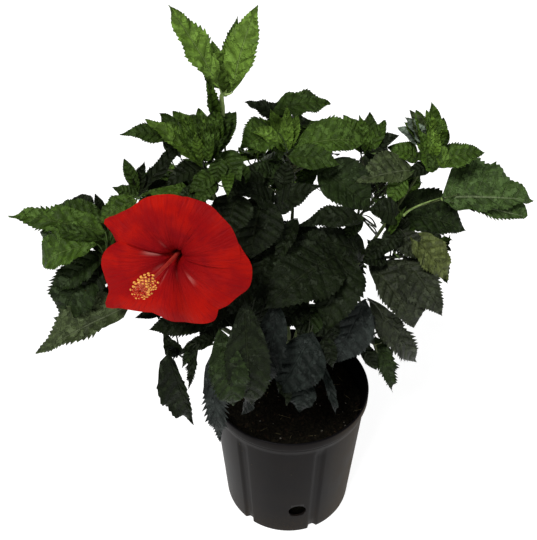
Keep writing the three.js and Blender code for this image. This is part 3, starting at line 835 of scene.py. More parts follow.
def growStalk(bunch, foot, end, direction, radius, finish):
    bend = foot.lerp(end, 0.5) - direction * (end - foot).length * 0.22
    radii = [radius * mm * share for share in (1.15, 1, 0.9, 0.8, 0.65, 0.4)]
    bunch.tube(bezier(foot, bend, end, len(radii) - 1), radii, 6, finish)


def growMass(mass, habit, shield, twigs, stalks):
    rng = random.Random(crown["seed"] + sum(map(ord, mass)))
    room = Mass(mass)
    bunch = leadBunches.get(mass) or Bunch()
    shoots = growShoots(rng, mass, room, habit, shield)
    first, last = crown["twigRadii"]
    count = 0
    for path in shoots:
        radii = [mm * (first + (last - first) * i / (len(path) - 1)) for i in range(len(path))]
        if "stem" in habit:
            stalks.tube(path, [radius * 1.2 for radius in radii], 10, paleStalk)
        else:
            twigs.tube(path, radii, 7)
            count += dressShoot(rng, path, room, habit, shield, bunch, stalks)
    return bunch, count, shoots


def growLeadStalks(shoots, stalks):
    boughs = [node for name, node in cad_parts.items() if name.startswith("bough_")]
    limbs = [vertex.co for node in boughs for vertex in node.data.vertices]
    for mass, rows in leadBases.items():
        isPale = mass in ("leaves_sprig", "leaves_far_right")
        radius = crown["petioleRadius"] * (1.5 if isPale else 1)
        for base, direction, tone, knee in rows:
            finish = paleStalk if isPale else stalkFor(tone)
            if knee:
                root = nearestTo(knee, limbs)
                lowFinish = greenStalk if isPale else finish
                stalks.tube([root, root.lerp(knee, 0.5), knee], [radius * 1.2 * mm] * 3, 6, lowFinish)
            foot = knee or nearestTo(base, [spot for path in shoots[mass] for spot in path])
            growStalk(stalks, foot, base, direction, radius, finish)


def dressShoot(rng, path, room, habit, shield, bunch, stalks):
    length = sum((b - a).length for a, b in zip(path, path[1:]))
    count = max(int(length / mm / crown["internode"]), 3)
    spin = rng.uniform(0, 360)
    made = 0
    for k in range(count + 1):
        share = 0.2 + 0.8 * k / count
        where = share * (len(path) - 1)
        index = min(int(where), len(path) - 2)
        node = path[index].lerp(path[index + 1], where - index)
        axis = (path[index + 1] - path[index]).normalized()
        side = axis.orthogonal().normalized()
        side.rotate(Matrix.Rotation(math.radians(spin + crown["leafTurn"] * k), 3, axis))
        made += growFill(rng, node, axis, side, share, room, habit, shield, bunch, stalks)
    growTuft(rng, path, room, habit, shield, bunch)
    return made


def growFill(rng, node, axis, side, share, room, habit, shield, bunch, stalks):
    petiole = rng.uniform(*crown["petiole"]) * mm * (1.1 - 0.5 * share)
    wanted = rng.uniform(*crown["blade"]) * mm * (1.1 - 0.35 * share)
    lean = rng.uniform(*crown["lean"])
    droop = rng.uniform(*crown["droop"])
    breadth = rng.uniform(*crown["breadth"])
    tone = rng.choice(habit["tones"])
    form = leafForm(rng)
    tilt = crown["tilt"]
    face = Vector((rng.uniform(-tilt, tilt), rng.uniform(-tilt, tilt), 1))
    for turn in crown["roomTurns"]:
        reach = side.copy()
        reach.rotate(Matrix.Rotation(math.radians(turn), 3, axis))
        base = node + (axis * lean + reach).normalized() * petiole
        direction = (axis * lean * 0.4 + reach - upward * droop).normalized()
        if not room.holds(base):
            continue
        length = min(wanted, room.room(base, direction) + crown["outside"] * mm)
        if length < crown["leastBlade"] * mm:
            continue
        tip = base + direction * length
        facing = (face + reach * 0.35).normalized()
        edge = direction.cross(facing).normalized() * breadth * length * 0.42
        spots = [base.lerp(tip, part) for part in (0, 0.2, 0.4, 0.6, 0.8, 1)]
        spots += [base.lerp(tip, part) + edge * way for part in (0.25, 0.5) for way in (-1, 1)]
        inFront = any(hides(shield, spot + sunward * 4 * mm, crown["leafClear"]) for spot in spots)
        if inFront or blocksSky(spots):
            continue
        addLeaf(bunch, base, tip, facing, breadth * length, tone, form, leaf["fillRows"], fillStrips)
        growStalk(stalks, node, base, direction, crown["petioleRadius"], stalkFor(tone))
        return 1
    return 0


def growTuft(rng, path, room, habit, shield, bunch):  # the pleated young leaves at a shoot's tip
    tip = path[-1]
    axis = (path[-1] - path[-2]).normalized()
    side = axis.orthogonal().normalized()
    blade, longer = crown["tuftBlade"]
    fold, opening = crown["tuftFold"]
    for k in range(crown["tuft"]):
        outward = side.copy()
        outward.rotate(Matrix.Rotation(math.radians(crown["leafTurn"] * k), 3, axis))
        direction = (axis + outward * (0.25 + 0.14 * k) + upward * 0.3).normalized()
        length = min((blade + longer * k) * mm, room.room(tip, direction) + 2 * mm)
        spots = [tip + direction * length * part for part in (0.3, 0.65, 1)]
        inFront = any(hides(shield, spot, crown["leafClear"]) for spot in spots)
        if length < crown["leastTuftBlade"] * mm or inFront or blocksSky(spots):
            continue
        form = leafForm(rng, fold=fold - opening * k, arch=0.1, pleat=2)
        tone = habit["tones"][k % len(habit["tones"])]
        if habit["young"]:
            tone = "young" if k < 2 else "fresh"
        end = tip + direction * length
        addLeaf(bunch, tip, end, axis - outward, 0.5 * length, tone, form, leaf["tuftRows"], fillStrips)


def buildCrown():
    growLeads()
    shield = growShield()
    twigs = Bunch()
    stalks = Bunch()
    total = 0
    shoots = {}
    for mass, habit in habits.items():
        bunch, count, shoots[mass] = growMass(mass, habit, shield, twigs, stalks)
        total += count + len(leads.get(mass, []))
        piece = makePiece(mass.replace("leaves", "foliage"), bunch, leafFinishes)
        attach(piece, "root")
        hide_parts(mass)
    growLeadStalks(shoots, stalks)
    kinds = (("twigs", twigs, [twigFinish]), ("leaf_stalks", stalks, stalkFinishes))
    for name, parts, finishes in kinds:
        piece = makePiece(name, parts, finishes, closed=True)
        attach(piece, "root")
        "bark" if name == "twigs" else "leaf"
    print("crown:", total, "leaves")


buildCrown()

wood = {
    "grow": 0.5,  # bridges the clearance between the limbs
    "voxel": 0.9,
    "smoothing": 6,
    "relief": 0.45,
    "furrow": (380, 0.35),  # the bark's furrows: how fine, and how far they are drawn out upwards
    "slimming": 1.3,  # how much the upper limbs are pared down
    "slimmingRise": 60,  # over this height the paring sets in
    "greenFrom": 205,  # above here the limbs are still green
    "paleFrom": 440,  # above here only the palest shoot stands
}


def woodFinish():
    material, work = newFinish("stem-bark")
    place = work.place()
    furrows = work.noise(work.drawnOut(place, wood["furrow"][1]), 420, 5, 0.65)
    patches = work.noise(place, 60, 2)
    height = work.axis(place, "Z")
    bark = work.mixed(work.between(furrows, 0.35, 0.65), (0.030, 0.023, 0.016), (0.115, 0.094, 0.070))
    bark = work.mixed(work.between(patches, 0.45, 0.65) * 0.5, bark, (0.12, 0.12, 0.085))
    green = work.mixed(work.between(furrows, 0.3, 0.7), (0.030, 0.042, 0.013), (0.085, 0.110, 0.035))
    greenFrom, paleFrom = wood["greenFrom"] * mm, wood["paleFrom"] * mm
    colour = work.mixed(work.between(height + patches * 0.03, greenFrom, greenFrom + 0.05), bark, green)
    colour = work.mixed(work.between(height, paleFrom, paleFrom + 0.025), colour, (0.19, 0.26, 0.08))
    normal = work.bump(furrows, 0.0012, 0.8)
    surface(work, colour=colour, roughness=0.78, normal=normal, specular=0.2)
    return material


def buildWood():
    limbs = [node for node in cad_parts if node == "trunk" or node.startswith("bough_")]
    mesh = weldedCopy(limbs)
    for vertex, normal in [(v, v.normal.copy()) for v in mesh.vertices]:
        vertex.co += normal * wood["grow"] * mm
    piece = newObject("stem_and_boughs", mesh)
    remesh = piece.modifiers.new("remesh", "REMESH")
    remesh.mode = "VOXEL"
    remesh.voxel_size = wood["voxel"] * mm
    smooth = piece.modifiers.new("smooth", "SMOOTH")
    smooth.iterations = wood["smoothing"]
    smooth.factor = 0.5
    carved = appliedMesh(piece)
    piece.modifiers.clear()
    piece.data = carved
    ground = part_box("trunk")[0].z
    fineness, drawn = wood["furrow"]
    for vertex, normal in [(v, v.normal.copy()) for v in carved.vertices]:
        if vertex.co.z <= ground + mm:
            continue
        bark = noise.fractal(Vector((vertex.co.x, vertex.co.y, vertex.co.z * drawn)) * fineness, 1.0, 2.0, 3)
        knot = noise.noise(vertex.co * 90)
        height = vertex.co.z / mm
        fade = limited((wood["greenFrom"] + 60 - height) / 60, 0.25)
        pared = wood["slimming"] * limited((height - wood["greenFrom"]) / wood["slimmingRise"])
        pared *= limited((wood["paleFrom"] + 20 - height) / 20)
        vertex.co += normal * mm * (wood["relief"] * fade * (bark + 0.6 * knot) - pared)
    carved.materials.clear()
    carved.materials.append(woodFinish())
    carved.polygons.foreach_set("use_smooth", [True] * len(carved.polygons))
    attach(piece, "root")
    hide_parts(*limbs)
    print("stem and boughs:", len(carved.polygons), "faces")


buildWood()

# Each petal's rim, from the side that laps over its neighbour: headings round the throat, and how far out
# it is.
petals = [
    [(70, 48), (100, 50), (120, 50), (135, 51), (146, 55), (156, 62), (162, 52), (182, 42)],
    [(-5, 50), (15, 51), (45, 50), (75, 49), (95, 44)],
    [(-50, 51), (-35, 54), (-15, 60), (0, 57), (15, 51), (30, 45)],
    [(-126, 50), (-105, 52), (-75, 54), (-60, 57), (-50, 50), (-35, 44)],
    [(-196, 44), (-186, 53), (-172, 61), (-160, 61), (-151, 64), (-143, 75), (-137, 66), (-130, 60),
     (-115, 51), (-100, 44)],
]
bloom = {
    "throat": (-95.3, -96, 398),
    "facing": (-0.18, -0.91, 0.30),
    "columnTip": (-109, -152, 415),
    "rimDrift": (3.4, 1.9),  # how far the rims stand off centre, across and up
    "overlap": 1.3,
    "ruffle": 2.2,
    "pleat": 1.3,
    "cup": 2.5,
    "rows": 30,
    "columns": 36,
    "seed": 5,
    "columnRadii": (1.9, 0.9),
    "columnSteps": 22,
    "columnFoot": 30,  # behind the throat
    "columnBend": 22,  # ahead of it
    "pads": 5,
    "padRadius": 0.95,
    "padReach": (5, 3.4),  # how far past the column's tip they stand, and how far apart
    "stamens": 95,
    "stamenLength": 7.0,
    "stamensFrom": 0.76,  # how far along the column
    "stamenTurn": 2.399963,  # from each to the next, in radians
    "calyxFoot": 38,  # how far behind the throat the calyx starts
    "calyxLength": 20,
    "calyxSize": (30, 12),  # its faces round and along
    "calyxLobes": 5,
    "bracts": 7,
}
bloomFacing = Vector(bloom["facing"]).normalized()
bloomThroat = Vector(bloom["throat"]) * mm
bloomSide = (Vector((1, 0, 0)) - bloomFacing * bloomFacing.x).normalized()
bloomTop = bloomFacing.cross(bloomSide)
if bloomTop.z < 0:
    bloomTop = -bloomTop
bloomDrift = (bloomSide * bloom["rimDrift"][0] + bloomTop * bloom["rimDrift"][1]) * mm
# Along a petal: its distance from the throat's axis, and its height along that axis.
petalProfile = [(0, 2.4, -33), (0.14, 3.4, -23), (0.28, 5.2, -13), (0.42, 10.5, -5.5), (0.56, 21, -1),
                (0.7, 34, 1.5), (0.85, 46, 1), (1, 58, -3)]


def petalFinish():
    material, work = newFinish("petal-red")
    across = work.axis(work.ownMap(), "X")
    along = across.output("Y")
    place = work.place()
    veins = work.noise(work.vector(X=across * 7, Y=along * 1.1, Z=0.0), 2.2, 4, 0.6)
    patches = work.noise(place, 34, 3)
    colour = work.mixed(work.between(patches, 0.40, 0.60), (0.39, 0.0058, 0.0020), (0.26, 0.0031, 0.0036))
    colour = work.mixed(work.between(veins, 0.46, 0.72) * 0.45, colour, (0.19, 0.0022, 0.006))
    inner = 1 - work.between(along + veins * 0.14, 0.42, 0.95)
    colour = work.mixed(inner * 0.75, colour, (0.15, 0.0018, 0.006))
    # Painted highlights: pale streaks where the lapping edges and, faintly, the middles of the petals catch
    # the light near the throat, kept to below or left of it.
    lapping = 1 - work.between(across, -0.96, -0.72)
    highlightStreak = lapping * work.between(along, 0.40, 0.46) * (1 - work.between(along, 0.52, 0.66))
    middle = 1 - work.between(work.maths("ABSOLUTE", across), 0.02, 0.16)
    highlightStreak = highlightStreak + middle * work.between(along, 0.38, 0.44) * (1 - work.between(along, 0.46, 0.56)) * 0.2
    beside = work.axis(place, "X")
    middleX, middleZ = bloomThroat.x, bloomThroat.z
    lower = 1 - work.between(beside.output("Z"), middleZ - 0.013, middleZ - 0.008)
    leftward = 1 - work.between(beside, middleX - 0.006, middleX - 0.002)
    pale = highlightStreak * work.maths("MAXIMUM", lower, leftward) * work.between(patches, 0.3, 0.5)
    colour = work.mixed(pale * 0.85, colour, (0.50, 0.16, 0.14))
    deepest = 1 - work.between(along, 0.24, 0.42)
    colour = work.mixed(deepest * 0.8, colour, (0.42, 0.006, 0.006))
    # Painted shade: the petals grow darker towards the right, away from the light.
    paintedShadeRight = work.between(beside, -0.1, -0.03)
    colour = work.mixed(paintedShadeRight * 0.3, colour, (0.12, 0.0015, 0.003))
    normal = work.bump(veins, 0.0022, 0.8)
    surface(work, colour=colour, roughness=0.5, normal=normal, specular=0.035)
    return material


def outwards(angle):  # away from the bloom's axis
    return bloomSide * math.cos(angle) + bloomTop * math.sin(angle)


def petalPlace(rim, phase, across, along):
    heading = rim[0][0] + (rim[-1][0] - rim[0][0]) * (across + 1) / 2
    reach = through(rim, heading)[0] / petalProfile[-1][1]
    reach *= 1 + 0.006 * math.sin(13 * across + phase)
    radius, height = through(petalProfile, along)
    radius *= 1 + (reach - 1) * along
    ruffle = bloom["ruffle"] * along ** 2.2
    height += ruffle * math.sin(3.6 * across + phase) * (0.4 + 0.6 * abs(across))
    height += ruffle * 0.3 * math.sin(10 * across + 2 * phase)
    height += bloom["pleat"] * math.sin(8 * across + phase) * math.sin(math.pi * along) ** 2
    height -= bloom["overlap"] * across * (0.25 + 0.75 * along)
    height += bloom["cup"] * (1 - across * across) * along
    place = bloomThroat + (outwards(math.radians(heading)) * radius + bloomFacing * height) * mm
    return place + bloomDrift * along ** 2


def buildPetals():
    rng = random.Random(bloom["seed"])
    bunch = Bunch()
    for rim in petals:
        phase = rng.uniform(0, 6.28)

        def spotAt(i, j):
            across = 2 * j / bloom["columns"] - 1
            along = i / bloom["rows"]
            return petalPlace(rim, phase, across, along), (across, along)

        bunch.grid(bloom["rows"], bloom["columns"], spotAt)
    piece = makePiece("petals", bunch, [petalFinish()], weld=0.001)
    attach(piece, "root")
    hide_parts("bloom")


def buildColumn():
    tip = Vector(bloom["columnTip"]) * mm
    foot = bloomThroat - bloomFacing * bloom["columnFoot"] * mm
    bend = bloomThroat + bloomFacing * bloom["columnBend"] * mm
    steps = bloom["columnSteps"]
    path = bezier(foot, bend, tip, steps)
    red = mottledFinish("column-red", (0.30, 0.010, 0.010), (0.50, 0.05, 0.03), 200, 2, roughness=0.45)
    matt = {"roughness": 0.6, "specular": 0.1}
    padRed = mottledFinish("stigma-red", (0.36, 0.010, 0.006), (0.48, 0.028, 0.010), 200, 2, **matt)
    bunch = Bunch()
    thick, thin = bloom["columnRadii"]
    bunch.tube(path, [mm * (thick + (thin - thick) * i / steps) for i in range(steps + 1)], 10)
    axis = (path[-1] - path[-2]).normalized()
    side = axis.orthogonal().normalized()
    ahead, apart = bloom["padReach"]
    for k in range(bloom["pads"]):
        out = side.copy()
        out.rotate(Matrix.Rotation(math.radians(360 / bloom["pads"] * k), 3, axis))
        end = tip + (axis * ahead + out * apart) * mm
        bunch.tube(bezier(tip - axis * mm, tip + axis * 3.5 * mm, end, 4), [0.4 * mm] * 5, 6, 1)
        bunch.ball(end, bloom["padRadius"] * mm, 0.8, (axis + out * 0.5).normalized(), 1)
    piece = makePiece("bloom_column", bunch, [red, padRed], closed=True)
    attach(piece, "root")
    return path


def geometryTree(name, inputs):  # a tree with named inputs, and its node for them
    tree = bpy.data.node_groups.new(name, "GeometryNodeTree")
    tree.interface.new_socket("Geometry", in_out="INPUT", socket_type="NodeSocketGeometry")
    for label, kind, value in inputs:
        socket = tree.interface.new_socket(label, in_out="INPUT", socket_type="NodeSocket" + kind)
        socket.default_value = value
    tree.interface.new_socket("Geometry", in_out="OUTPUT", socket_type="NodeSocketGeometry")
    work = NodeWork(tree)
    return tree, work, work.node("NodeGroupInput")


def closeTree(work, points, shape, turned, size, material):  # the shape on every point, made real
    sockets = {"Points": points, "Instance": shape, "Rotation": turned, "Scale": size}
    instances = work.node("GeometryNodeInstanceOnPoints", {}, sockets)
    real = work.node("GeometryNodeRealizeInstances", {}, {"Geometry": instances})
    painted = work.node("GeometryNodeSetMaterial", {}, {"Geometry": real, "Material": material})
    work.node("NodeGroupOutput", {}, {"Geometry": painted})


def runTree(name, host, tree, values):  # the tree's result on the host, as a piece of its own
    modifier = host.modifiers.new(name, "NODES")
    modifier.node_group = tree
    for item in tree.interface.items_tree:
        if item.name in values:
            modifier[item.identifier] = values[item.name]
    mesh = appliedMesh(host)
    host.modifiers.remove(modifier)
    return newObject(name, mesh)


def stamenTree(name, isAnther, material):  # filaments or anthers, set round a path
    inputs = [("Count", "Int", 10), ("Length", "Float", 0.01), ("Lean", "Float", 0.5), ("Seed", "Int", 0)]
    tree, work, given = geometryTree(name, inputs)
    curve = work.node("GeometryNodeMeshToCurve", {}, {"Mesh": given})
    sockets = {"Curve": curve, "Count": given.output("Count")}
    points = work.node("GeometryNodeCurveToPoints", {"mode": "COUNT"}, sockets)
    turn = work.node("GeometryNodeInputIndex") * bloom["stamenTurn"]
    tangent = points.output("Tangent")
    normal = points.output("Normal")
    out = work.scaled(normal, work.maths("COSINE", turn))
    other = work.scaled(work.vectorMaths("CROSS_PRODUCT", tangent, normal), work.maths("SINE", turn))
    forward = work.scaled(tangent, given.output("Lean"))
    towards = work.vectorMaths("ADD", work.vectorMaths("ADD", out, other), forward)
    turned = work.node("FunctionNodeAlignRotationToVector", {"axis": "Z"}, {"Vector": towards})
    length = given.output("Length")
    if isAnther:
        grain = work.node("GeometryNodeMeshIcoSphere", {}, {"Radius": length * 0.105, "Subdivisions": 1})
        sockets = {"Geometry": grain, "Translation": work.vector(Z=length), "Scale": (1.45, 0.9, 0.75)}
        shape = work.node("GeometryNodeTransform", {}, sockets)
    else:
        sockets = {"Radius Top": length * 0.016, "Radius Bottom": length * 0.03, "Depth": length}
        shape = work.node("GeometryNodeMeshCone", {}, {"Vertices": 5, **sockets})
    sockets = {2: 0.72, 3: 1.15, 8: given.output("Seed")}
    size = work.node("FunctionNodeRandomValue", {"data_type": "FLOAT"}, sockets, 1)
    closeTree(work, points, shape, turned, size, material)
    return tree


def buildStamens(columnPath):
    points = columnPath[int(len(columnPath) * bloom["stamensFrom"]):]
    spine = bpy.data.meshes.new("spine")
    spine.from_pydata([tuple(p) for p in points], [(i, i + 1) for i in range(len(points) - 1)], [])
    host = newObject("spine", spine)
    anther = mottledFinish("anther-yellow", (0.78, 0.26, 0.02), (0.90, 0.52, 0.10), 900, 1, roughness=0.7)
    filament = mottledFinish("filament-red", (0.56, 0.050, 0.020), (0.76, 0.19, 0.06), 500, 1, roughness=0.5)
    values = {"Count": bloom["stamens"], "Length": bloom["stamenLength"] * mm, "Lean": 0.45, "Seed": 3}
    for name, isAnther, material in (("anthers", True, anther), ("filaments", False, filament)):
        piece = runTree(name, host, stamenTree(name, isAnther, material), values)
        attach(piece, "root")
    bpy.data.objects.remove(host)


def buildCalyx():
    bunch = Bunch()
    foot = bloomThroat - bloomFacing * bloom["calyxFoot"] * mm
    sides, steps = bloom["calyxSize"]

    def spotAt(i, j):
        along = i / steps
        angle = 2 * math.pi * j / sides
        lobe = 0.5 + 0.5 * math.cos(bloom["calyxLobes"] * angle)
        reach = bloom["calyxLength"] * (0.62 + 0.38 * lobe) * along
        radius = 1.4 + 4.6 * min(along * 2.2, 1) ** 0.6 + 1.4 * along * lobe
        return foot + (bloomFacing * reach + outwards(angle) * radius) * mm, (0.3, along)

    bunch.grid(steps, sides, spotAt)
    for k in range(bloom["bracts"]):
        out = outwards(2 * math.pi * k / bloom["bracts"])
        start = foot + (out * 2.6 + bloomFacing * 1.5) * mm
        bend = start + (out * 5 + bloomFacing * 2) * mm
        end = start + (out * 8 + bloomFacing * 10) * mm
        bunch.tube(bezier(start, bend, end, 5), [mm * r for r in (0.9, 0.95, 0.85, 0.7, 0.5, 0.2)])
    root = nearestTo(foot, [vertex.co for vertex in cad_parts["bough_bloom"].data.vertices])
    path = [root, root.lerp(foot, 0.5), foot + bloomFacing * 2 * mm]
    bunch.tube(path, [1.5 * mm, 1.4 * mm, 1.6 * mm], 8)
    piece = makePiece("calyx", bunch, [stalkFinishes[greenStalk]])
    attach(piece, "root")
    print("bloom: petals, column, stamens and calyx")


buildPetals()
buildStamens(buildColumn())
buildCalyx()

pot = {
    "rim": 82.5,
    "wallTop": 79.5,
    "base": 70.0,
    "wall": 2.0,
    "corner": 4.0,
    "lipHeight": 10.0,
    "shoulder": 5.0,
    "flutes": 6,
    "firstFlute": -38,
    "fluteDepth": 1.9,
    "fluteHalfWidth": 4.6,
    "holes": 4,
    "firstHole": 7,
    "holeRadius": 9.5,
    "holeHeight": 42,
    "sides": 288,
    "steps": 26,  # rows up the wall
}
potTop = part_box("pot")[1].z / mm
lipFoot = potTop - pot["lipHeight"]
shoulderFoot = lipFoot - pot["shoulder"]


def potFinish():
    material, work = newFinish("pot-plastic")
    place = work.place()
    across = work.axis(place, "X")
    streaks = work.noise(work.drawnOut(place, 0.12), 90, 4, 0.6)
    browning = work.noise(place, 26, 4, 0.6)
    grit = work.noise(place, 900, 2)
    low = 1 - work.between(across.output("Z"), 0.0, 0.05)
    dark, light = (0.0030, 0.0027, 0.0034), (0.0068, 0.0062, 0.0074)
    colour = work.mixed(work.between(streaks, 0.4, 0.75) * 0.5, dark, light)
    outside = 1 - work.between(work.axis(work.ownMap(), "Y"), 0.99, 1.0)
    # The outside turns browner and lighter towards the right side, and has brown grit low down.
    rightSide = (0.05 + work.between(across, 0.03, 0.085) * 0.6) * outside
    browned = (0.4 + work.between(browning, 0.25, 0.75) * 0.6) * rightSide + low * work.between(grit, 0.45, 0.7) * 0.35
    colour = work.mixed(browned, colour, (0.080, 0.054, 0.027))
    roughness = 0.36 + browned * 0.5 + streaks * 0.10
    normal = work.bump(streaks * 0.6 + grit * 0.25, 0.0003, 0.6)
    surface(work, colour=colour, roughness=roughness, normal=normal, specular=0.049)
    return material


def fluteAt(heading, height):  # how far the wall is pressed in
    pitch = 360 / pot["flutes"]
    off = (heading - pot["firstFlute"] + pitch / 2) % pitch - pitch / 2
    share = min(abs(off) / pot["fluteHalfWidth"], 1)
    section = 1 if share < 0.45 else 0.5 + 0.5 * math.cos(math.pi * (share - 0.45) / 0.55)
    fade = limited((shoulderFoot - 5 - height) / 6)
    foot = 1 + 1.2 * max(1 - height / 14, 0)
    return pot["fluteDepth"] * section * fade * foot


def potProfile():  # radius and height, from under the floor's middle round to its middle inside
    rim, wallTop, base = pot["rim"], pot["wallTop"], pot["base"]
    wall, corner, steps = pot["wall"], pot["corner"], pot["steps"]
    shares = [i / steps for i in range(steps + 1)]
    slope = [(base + (wallTop - base) * t, corner + (shoulderFoot - corner) * t) for t in shares]
    outside = [(0, 1.2), (base * 0.6, 1.2), (base - 9, 1.2), (base - 6, 0), (base - 2.6, 0)]
    outside += [(base - 2.6 + 2.6 * math.sin(a), corner * (1 - math.cos(a))) for a in (0.4, 0.8, 1.2, 1.57)]
    outside += slope[1:]
    lip = [
        (wallTop + 0.5, shoulderFoot + 0.3), (wallTop + 1.3, shoulderFoot + 0.9),
        (wallTop + 1.5, shoulderFoot + 2), (wallTop + 1.5, lipFoot - 1),
        (wallTop + 1.7, lipFoot - 0.3), (rim - 0.8, lipFoot + 0.2),
        (rim - 0.15, lipFoot + 0.6), (rim, lipFoot + 1.3), (rim, potTop - 1.4),
        (rim - 0.2, potTop - 0.6), (rim - 0.7, potTop - 0.1), (rim - 1.2, potTop),
        (rim - 1.8, potTop - 0.1), (rim - wall - 0.2, potTop - 0.7), (rim - wall - 0.3, lipFoot + 0.5),
    ]
    inside = [(radius - wall, height) for radius, height in reversed(slope)]
    inside += [(base - wall - 2, corner - 1.5), (base - wall - 5, corner - 0.8)]
    return outside + lip + inside + [(base * 0.5, corner - 0.8), (0, corner - 0.8)]


def drillPot(piece, angle):  # one drain hole through the wall
    work = bmesh.new()
    radius = pot["holeRadius"] * mm
    bmesh.ops.create_cone(work, cap_ends=True, segments=32, radius1=radius, radius2=radius, depth=0.03)
    heading = Vector((math.sin(angle), -math.cos(angle), 0))
    lay = heading.to_track_quat("Z", "Y").to_matrix().to_4x4()
    lift = Matrix.Translation(heading * pot["base"] * mm + upward * pot["holeHeight"] * mm)
    bmesh.ops.transform(work, matrix=lift @ lay, verts=work.verts)
    mesh = bpy.data.meshes.new("drill")
    work.to_mesh(mesh)
    work.free()
    drill = newObject("drill", mesh)
    cut = piece.modifiers.new("hole", "BOOLEAN")
    cut.object = drill
    cut.solver = "EXACT"
    drilled = appliedMesh(piece)
    piece.modifiers.clear()
    piece.data = drilled
    bpy.data.objects.remove(drill)


def buildPot():
    profile = potProfile()
    sides = pot["sides"]
    crest = max(range(len(profile)), key=lambda spot: profile[spot][1])

    def spotAt(i, j):
        radius, height = profile[i]
        heading = 360 * j / sides
        reach = radius - (fluteAt(heading, height) if radius > pot["base"] - 6 else 0)
        angle = math.radians(heading)
        level = height / potTop if i <= crest else 2 - height / potTop
        return Vector((math.sin(angle) * reach, -math.cos(angle) * reach, height)) * mm, (j / sides, level)

    bunch = Bunch()
    bunch.grid(len(profile) - 1, sides, spotAt)
    piece = makePiece("nursery_pot", bunch, [potFinish()], closed=True)
    for k in range(pot["holes"]):
        drillPot(piece, math.radians(pot["firstHole"] + 360 / pot["holes"] * k))
    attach(piece, "root")
    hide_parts("pot")
    print("pot:", len(piece.data.polygons), "faces")


buildPot()

mix = {"rings": 46, "sides": 150, "skirt": 4, "bumps": 2.2, "gap": 0.35}


def mixFinish(name, dark, light, scale):
    material, work = newFinish(name)
    lumps = work.noise(work.place(), scale, 5, 0.7)
    colour = work.mixed(work.between(lumps, 0.4, 0.72), dark, light)
    surface(work, colour=colour, roughness=0.9, normal=work.bump(lumps, 0.0016, 0.9), specular=0.05)
    return material


def buildMix():
    low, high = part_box("potting_mix")
    top = high.z
    bottom = low.z + 0.0015
    wallSlope = (pot["wallTop"] - pot["base"]) / (shoulderFoot - pot["corner"])
    inner = pot["base"] - pot["wall"] - mix["gap"]
    edge = (inner + wallSlope * (top / mm - pot["corner"]) - pot["fluteDepth"]) * mm
    foot = (inner - pot["fluteDepth"] * 2.2 - 3) * mm

    def spotAt(i, j):
        angle = 2 * math.pi * (j % mix["sides"]) / mix["sides"]
        heading = Vector((math.cos(angle), math.sin(angle), 0))
        share = i / mix["rings"]
        if share <= 1:  # over the top
            spot = heading * edge * share
            lump = noise.fractal(spot * 55, 1.0, 2.0, 3) + 0.5 * noise.noise(spot * 260)
            dish = 1.5 * share ** 4 - 0.8
            rise = (lump * mix["bumps"] * 0.55 + dish) * mm * min(share * 8, 1)
            return spot + upward * (top + rise), (share, j)
        share = (i - mix["rings"]) / mix["skirt"]
        if share <= 1:  # down the side
            height = max(top + (bottom - top) * share - 0.002, bottom)
            return heading * (edge + (foot - edge) * share) + upward * height, (share, j)
        return upward * bottom, (0, j)

    bunch = Bunch()
    bunch.grid(mix["rings"] + mix["skirt"] + 1, mix["sides"], spotAt)
    finish = mixFinish("mix-dark", (0.0028, 0.0024, 0.0016), (0.0150, 0.0122, 0.0070), 330)
    piece = makePiece("mix_body", bunch, [finish], closed=True)
    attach(piece, "root")
    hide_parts("potting_mix")
    print("potting mix:", len(piece.data.polygons), "faces")
    return piece


def crumbTree(name, material):  # bits strewn over the upward faces
    inputs = [("Density", "Float", 1000), ("Least", "Vector", (1, 1, 1)), ("Most", "Vector", (1, 1, 1)),
              ("Tilt", "Float", 3.1), ("Sink", "Float", 0.0), ("Seed", "Int", 0)]
    tree, work, given = geometryTree(name, inputs)
    rise = work.axis(work.node("GeometryNodeInputNormal"), "Z")
    seed = given.output("Seed")
    sockets = {
        "Mesh": given,
        "Selection": work.maths("GREATER_THAN", rise, 0.4),
        "Density": given.output("Density"),
        "Seed": seed,
    }
    points = work.node("GeometryNodeDistributePointsOnFaces", {}, sockets)
    lift = work.vector(Z=given.output("Sink"))
    points = work.node("GeometryNodeSetPosition", {}, {"Geometry": points, "Offset": lift})
    shape = work.node("GeometryNodeMeshIcoSphere", {}, {"Radius": 1.0, "Subdivisions": 1})
    tilt = given.output("Tilt")
    least = work.vector(X=0 - tilt, Y=0 - tilt, Z=0.0)
    most = work.vector(X=tilt, Y=tilt, Z=6.28)
    settings = {"data_type": "FLOAT_VECTOR"}
    turned = work.node("FunctionNodeRandomValue", settings, {0: least, 1: most, 8: seed}, 0)
    sockets = {0: given.output("Least"), 1: given.output("Most"), 8: seed + 1}
    size = work.node("FunctionNodeRandomValue", settings, sockets, 0)
    closeTree(work, points, shape, turned, size, material)
    return tree


# For each kind of bit: how many to a square metre, its least and greatest half sizes, its tilt, and its dark
# and light colours.
crumbs = {
    "mix_crumbs": (90000, (0.7, 0.6, 0.5), (1.9, 1.5, 1.1), 3.1, (0.0020, 0.0017, 0.0014),
                   (0.013, 0.010, 0.006)),
    "bark_chips": (9000, (2.0, 1.0, 0.4), (4.6, 2.0, 0.9), 0.7, (0.007, 0.0045, 0.003),
                   (0.030, 0.020, 0.012)),
    "straws": (2200, (4.0, 0.22, 0.22), (9.0, 0.4, 0.35), 0.35, (0.05, 0.042, 0.022), (0.17, 0.14, 0.08)),
    "pale_grit": (1500, (0.6, 0.6, 0.5), (1.3, 1.2, 1.0), 3.1, (0.08, 0.075, 0.06), (0.22, 0.20, 0.18)),
}


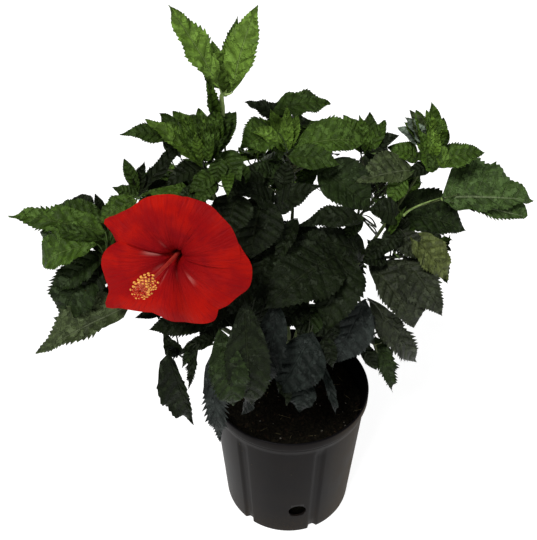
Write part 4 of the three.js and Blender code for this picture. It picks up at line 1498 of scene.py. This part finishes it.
def buildCrumbs(ground):
    for seed, (name, row) in enumerate(crumbs.items()):
        density, least, most, tilt, dark, light = row
        tree = crumbTree(name, mixFinish(name.replace("_", "-"), dark, light, 500))
        values = {
            "Density": float(density),
            "Least": [half * mm for half in least],
            "Most": [half * mm for half in most],
            "Tilt": tilt,
            "Sink": 0.25 * least[2] * mm,
            "Seed": seed + 2,
        }
        piece = runTree(name, ground, tree, values)
        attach(piece, "root")
        print(name + ":", len(piece.data.polygons), "faces")


buildCrumbs(buildMix())

stage = {
    "floorHalf": 6000,
    "floorGlow": 0.9,
    "softLight": 0.16,
    "backdrop": 0.97,
}
# For each lamp: where it shines from, its angle, its strength and its colour.
lamps = {
    "key": ((-0.45, -0.75, 1.25), 16, 2.9, (1, 0.99, 0.97)),
    "fill": ((0.9, -0.8, 0.7), 60, 0.5, (0.95, 0.98, 1)),
}


def buildCamera():
    lens = bpy.data.cameras.new("camera")
    lens.lens = camera["lens"]
    lens.sensor_width = camera["sensor"]
    lens.clip_start = 0.01
    eye = newObject("camera", lens)
    eye.location = frontEye
    eye.rotation_euler = (math.pi / 2 - lookDown, 0, 0)
    bpy.context.scene.camera = eye


def buildFloor():
    mesh = bpy.data.meshes.new("floor")
    half = stage["floorHalf"] * mm
    corners = [(-half, -half, 0), (half, -half, 0), (half, half, 0), (-half, half, 0)]
    mesh.from_pydata(corners, [], [(0, 1, 2, 3)])
    material, work = newFinish("floor-white")
    glow = {"Emission Color": (1, 1, 1, 1), "Emission Strength": stage["floorGlow"]}
    surface(work, colour=(0.35, 0.35, 0.35), roughness=0.9, specular=0.1, **glow)
    mesh.materials.append(material)
    floor = newObject("floor", mesh)


def buildLight():
    for name, (place, spread, strength, colour) in lamps.items():
        lamp = bpy.data.lights.new(name, "SUN")
        lamp.angle = math.radians(spread)
        lamp.energy = strength
        lamp.color = colour
        holder = newObject(name, lamp)
        holder.location = place
        holder.rotation_euler = Vector(place).to_track_quat("Z", "Y").to_euler()
    world = bpy.data.worlds.new("studio")
    world.use_nodes = True
    work = NodeWork(world.node_tree)
    soft = work.node("ShaderNodeBackground", {}, {"Color": (1, 1, 1, 1), "Strength": stage["softLight"]})
    backdrop = work.node("ShaderNodeBackground", {}, {"Color": (1, 1, 1, 1), "Strength": stage["backdrop"]})
    seen = work.node("ShaderNodeLightPath", output="Is Camera Ray")
    mixed = work.node("ShaderNodeMixShader", {}, {0: seen, 1: soft, 2: backdrop})
    work.node("ShaderNodeOutputWorld", {}, {"Surface": mixed})
    bpy.context.scene.world = world
    bpy.context.scene.view_settings.view_transform = "Standard"


buildCamera()
buildFloor()
buildLight()
print("stage: camera, floor and lamps")
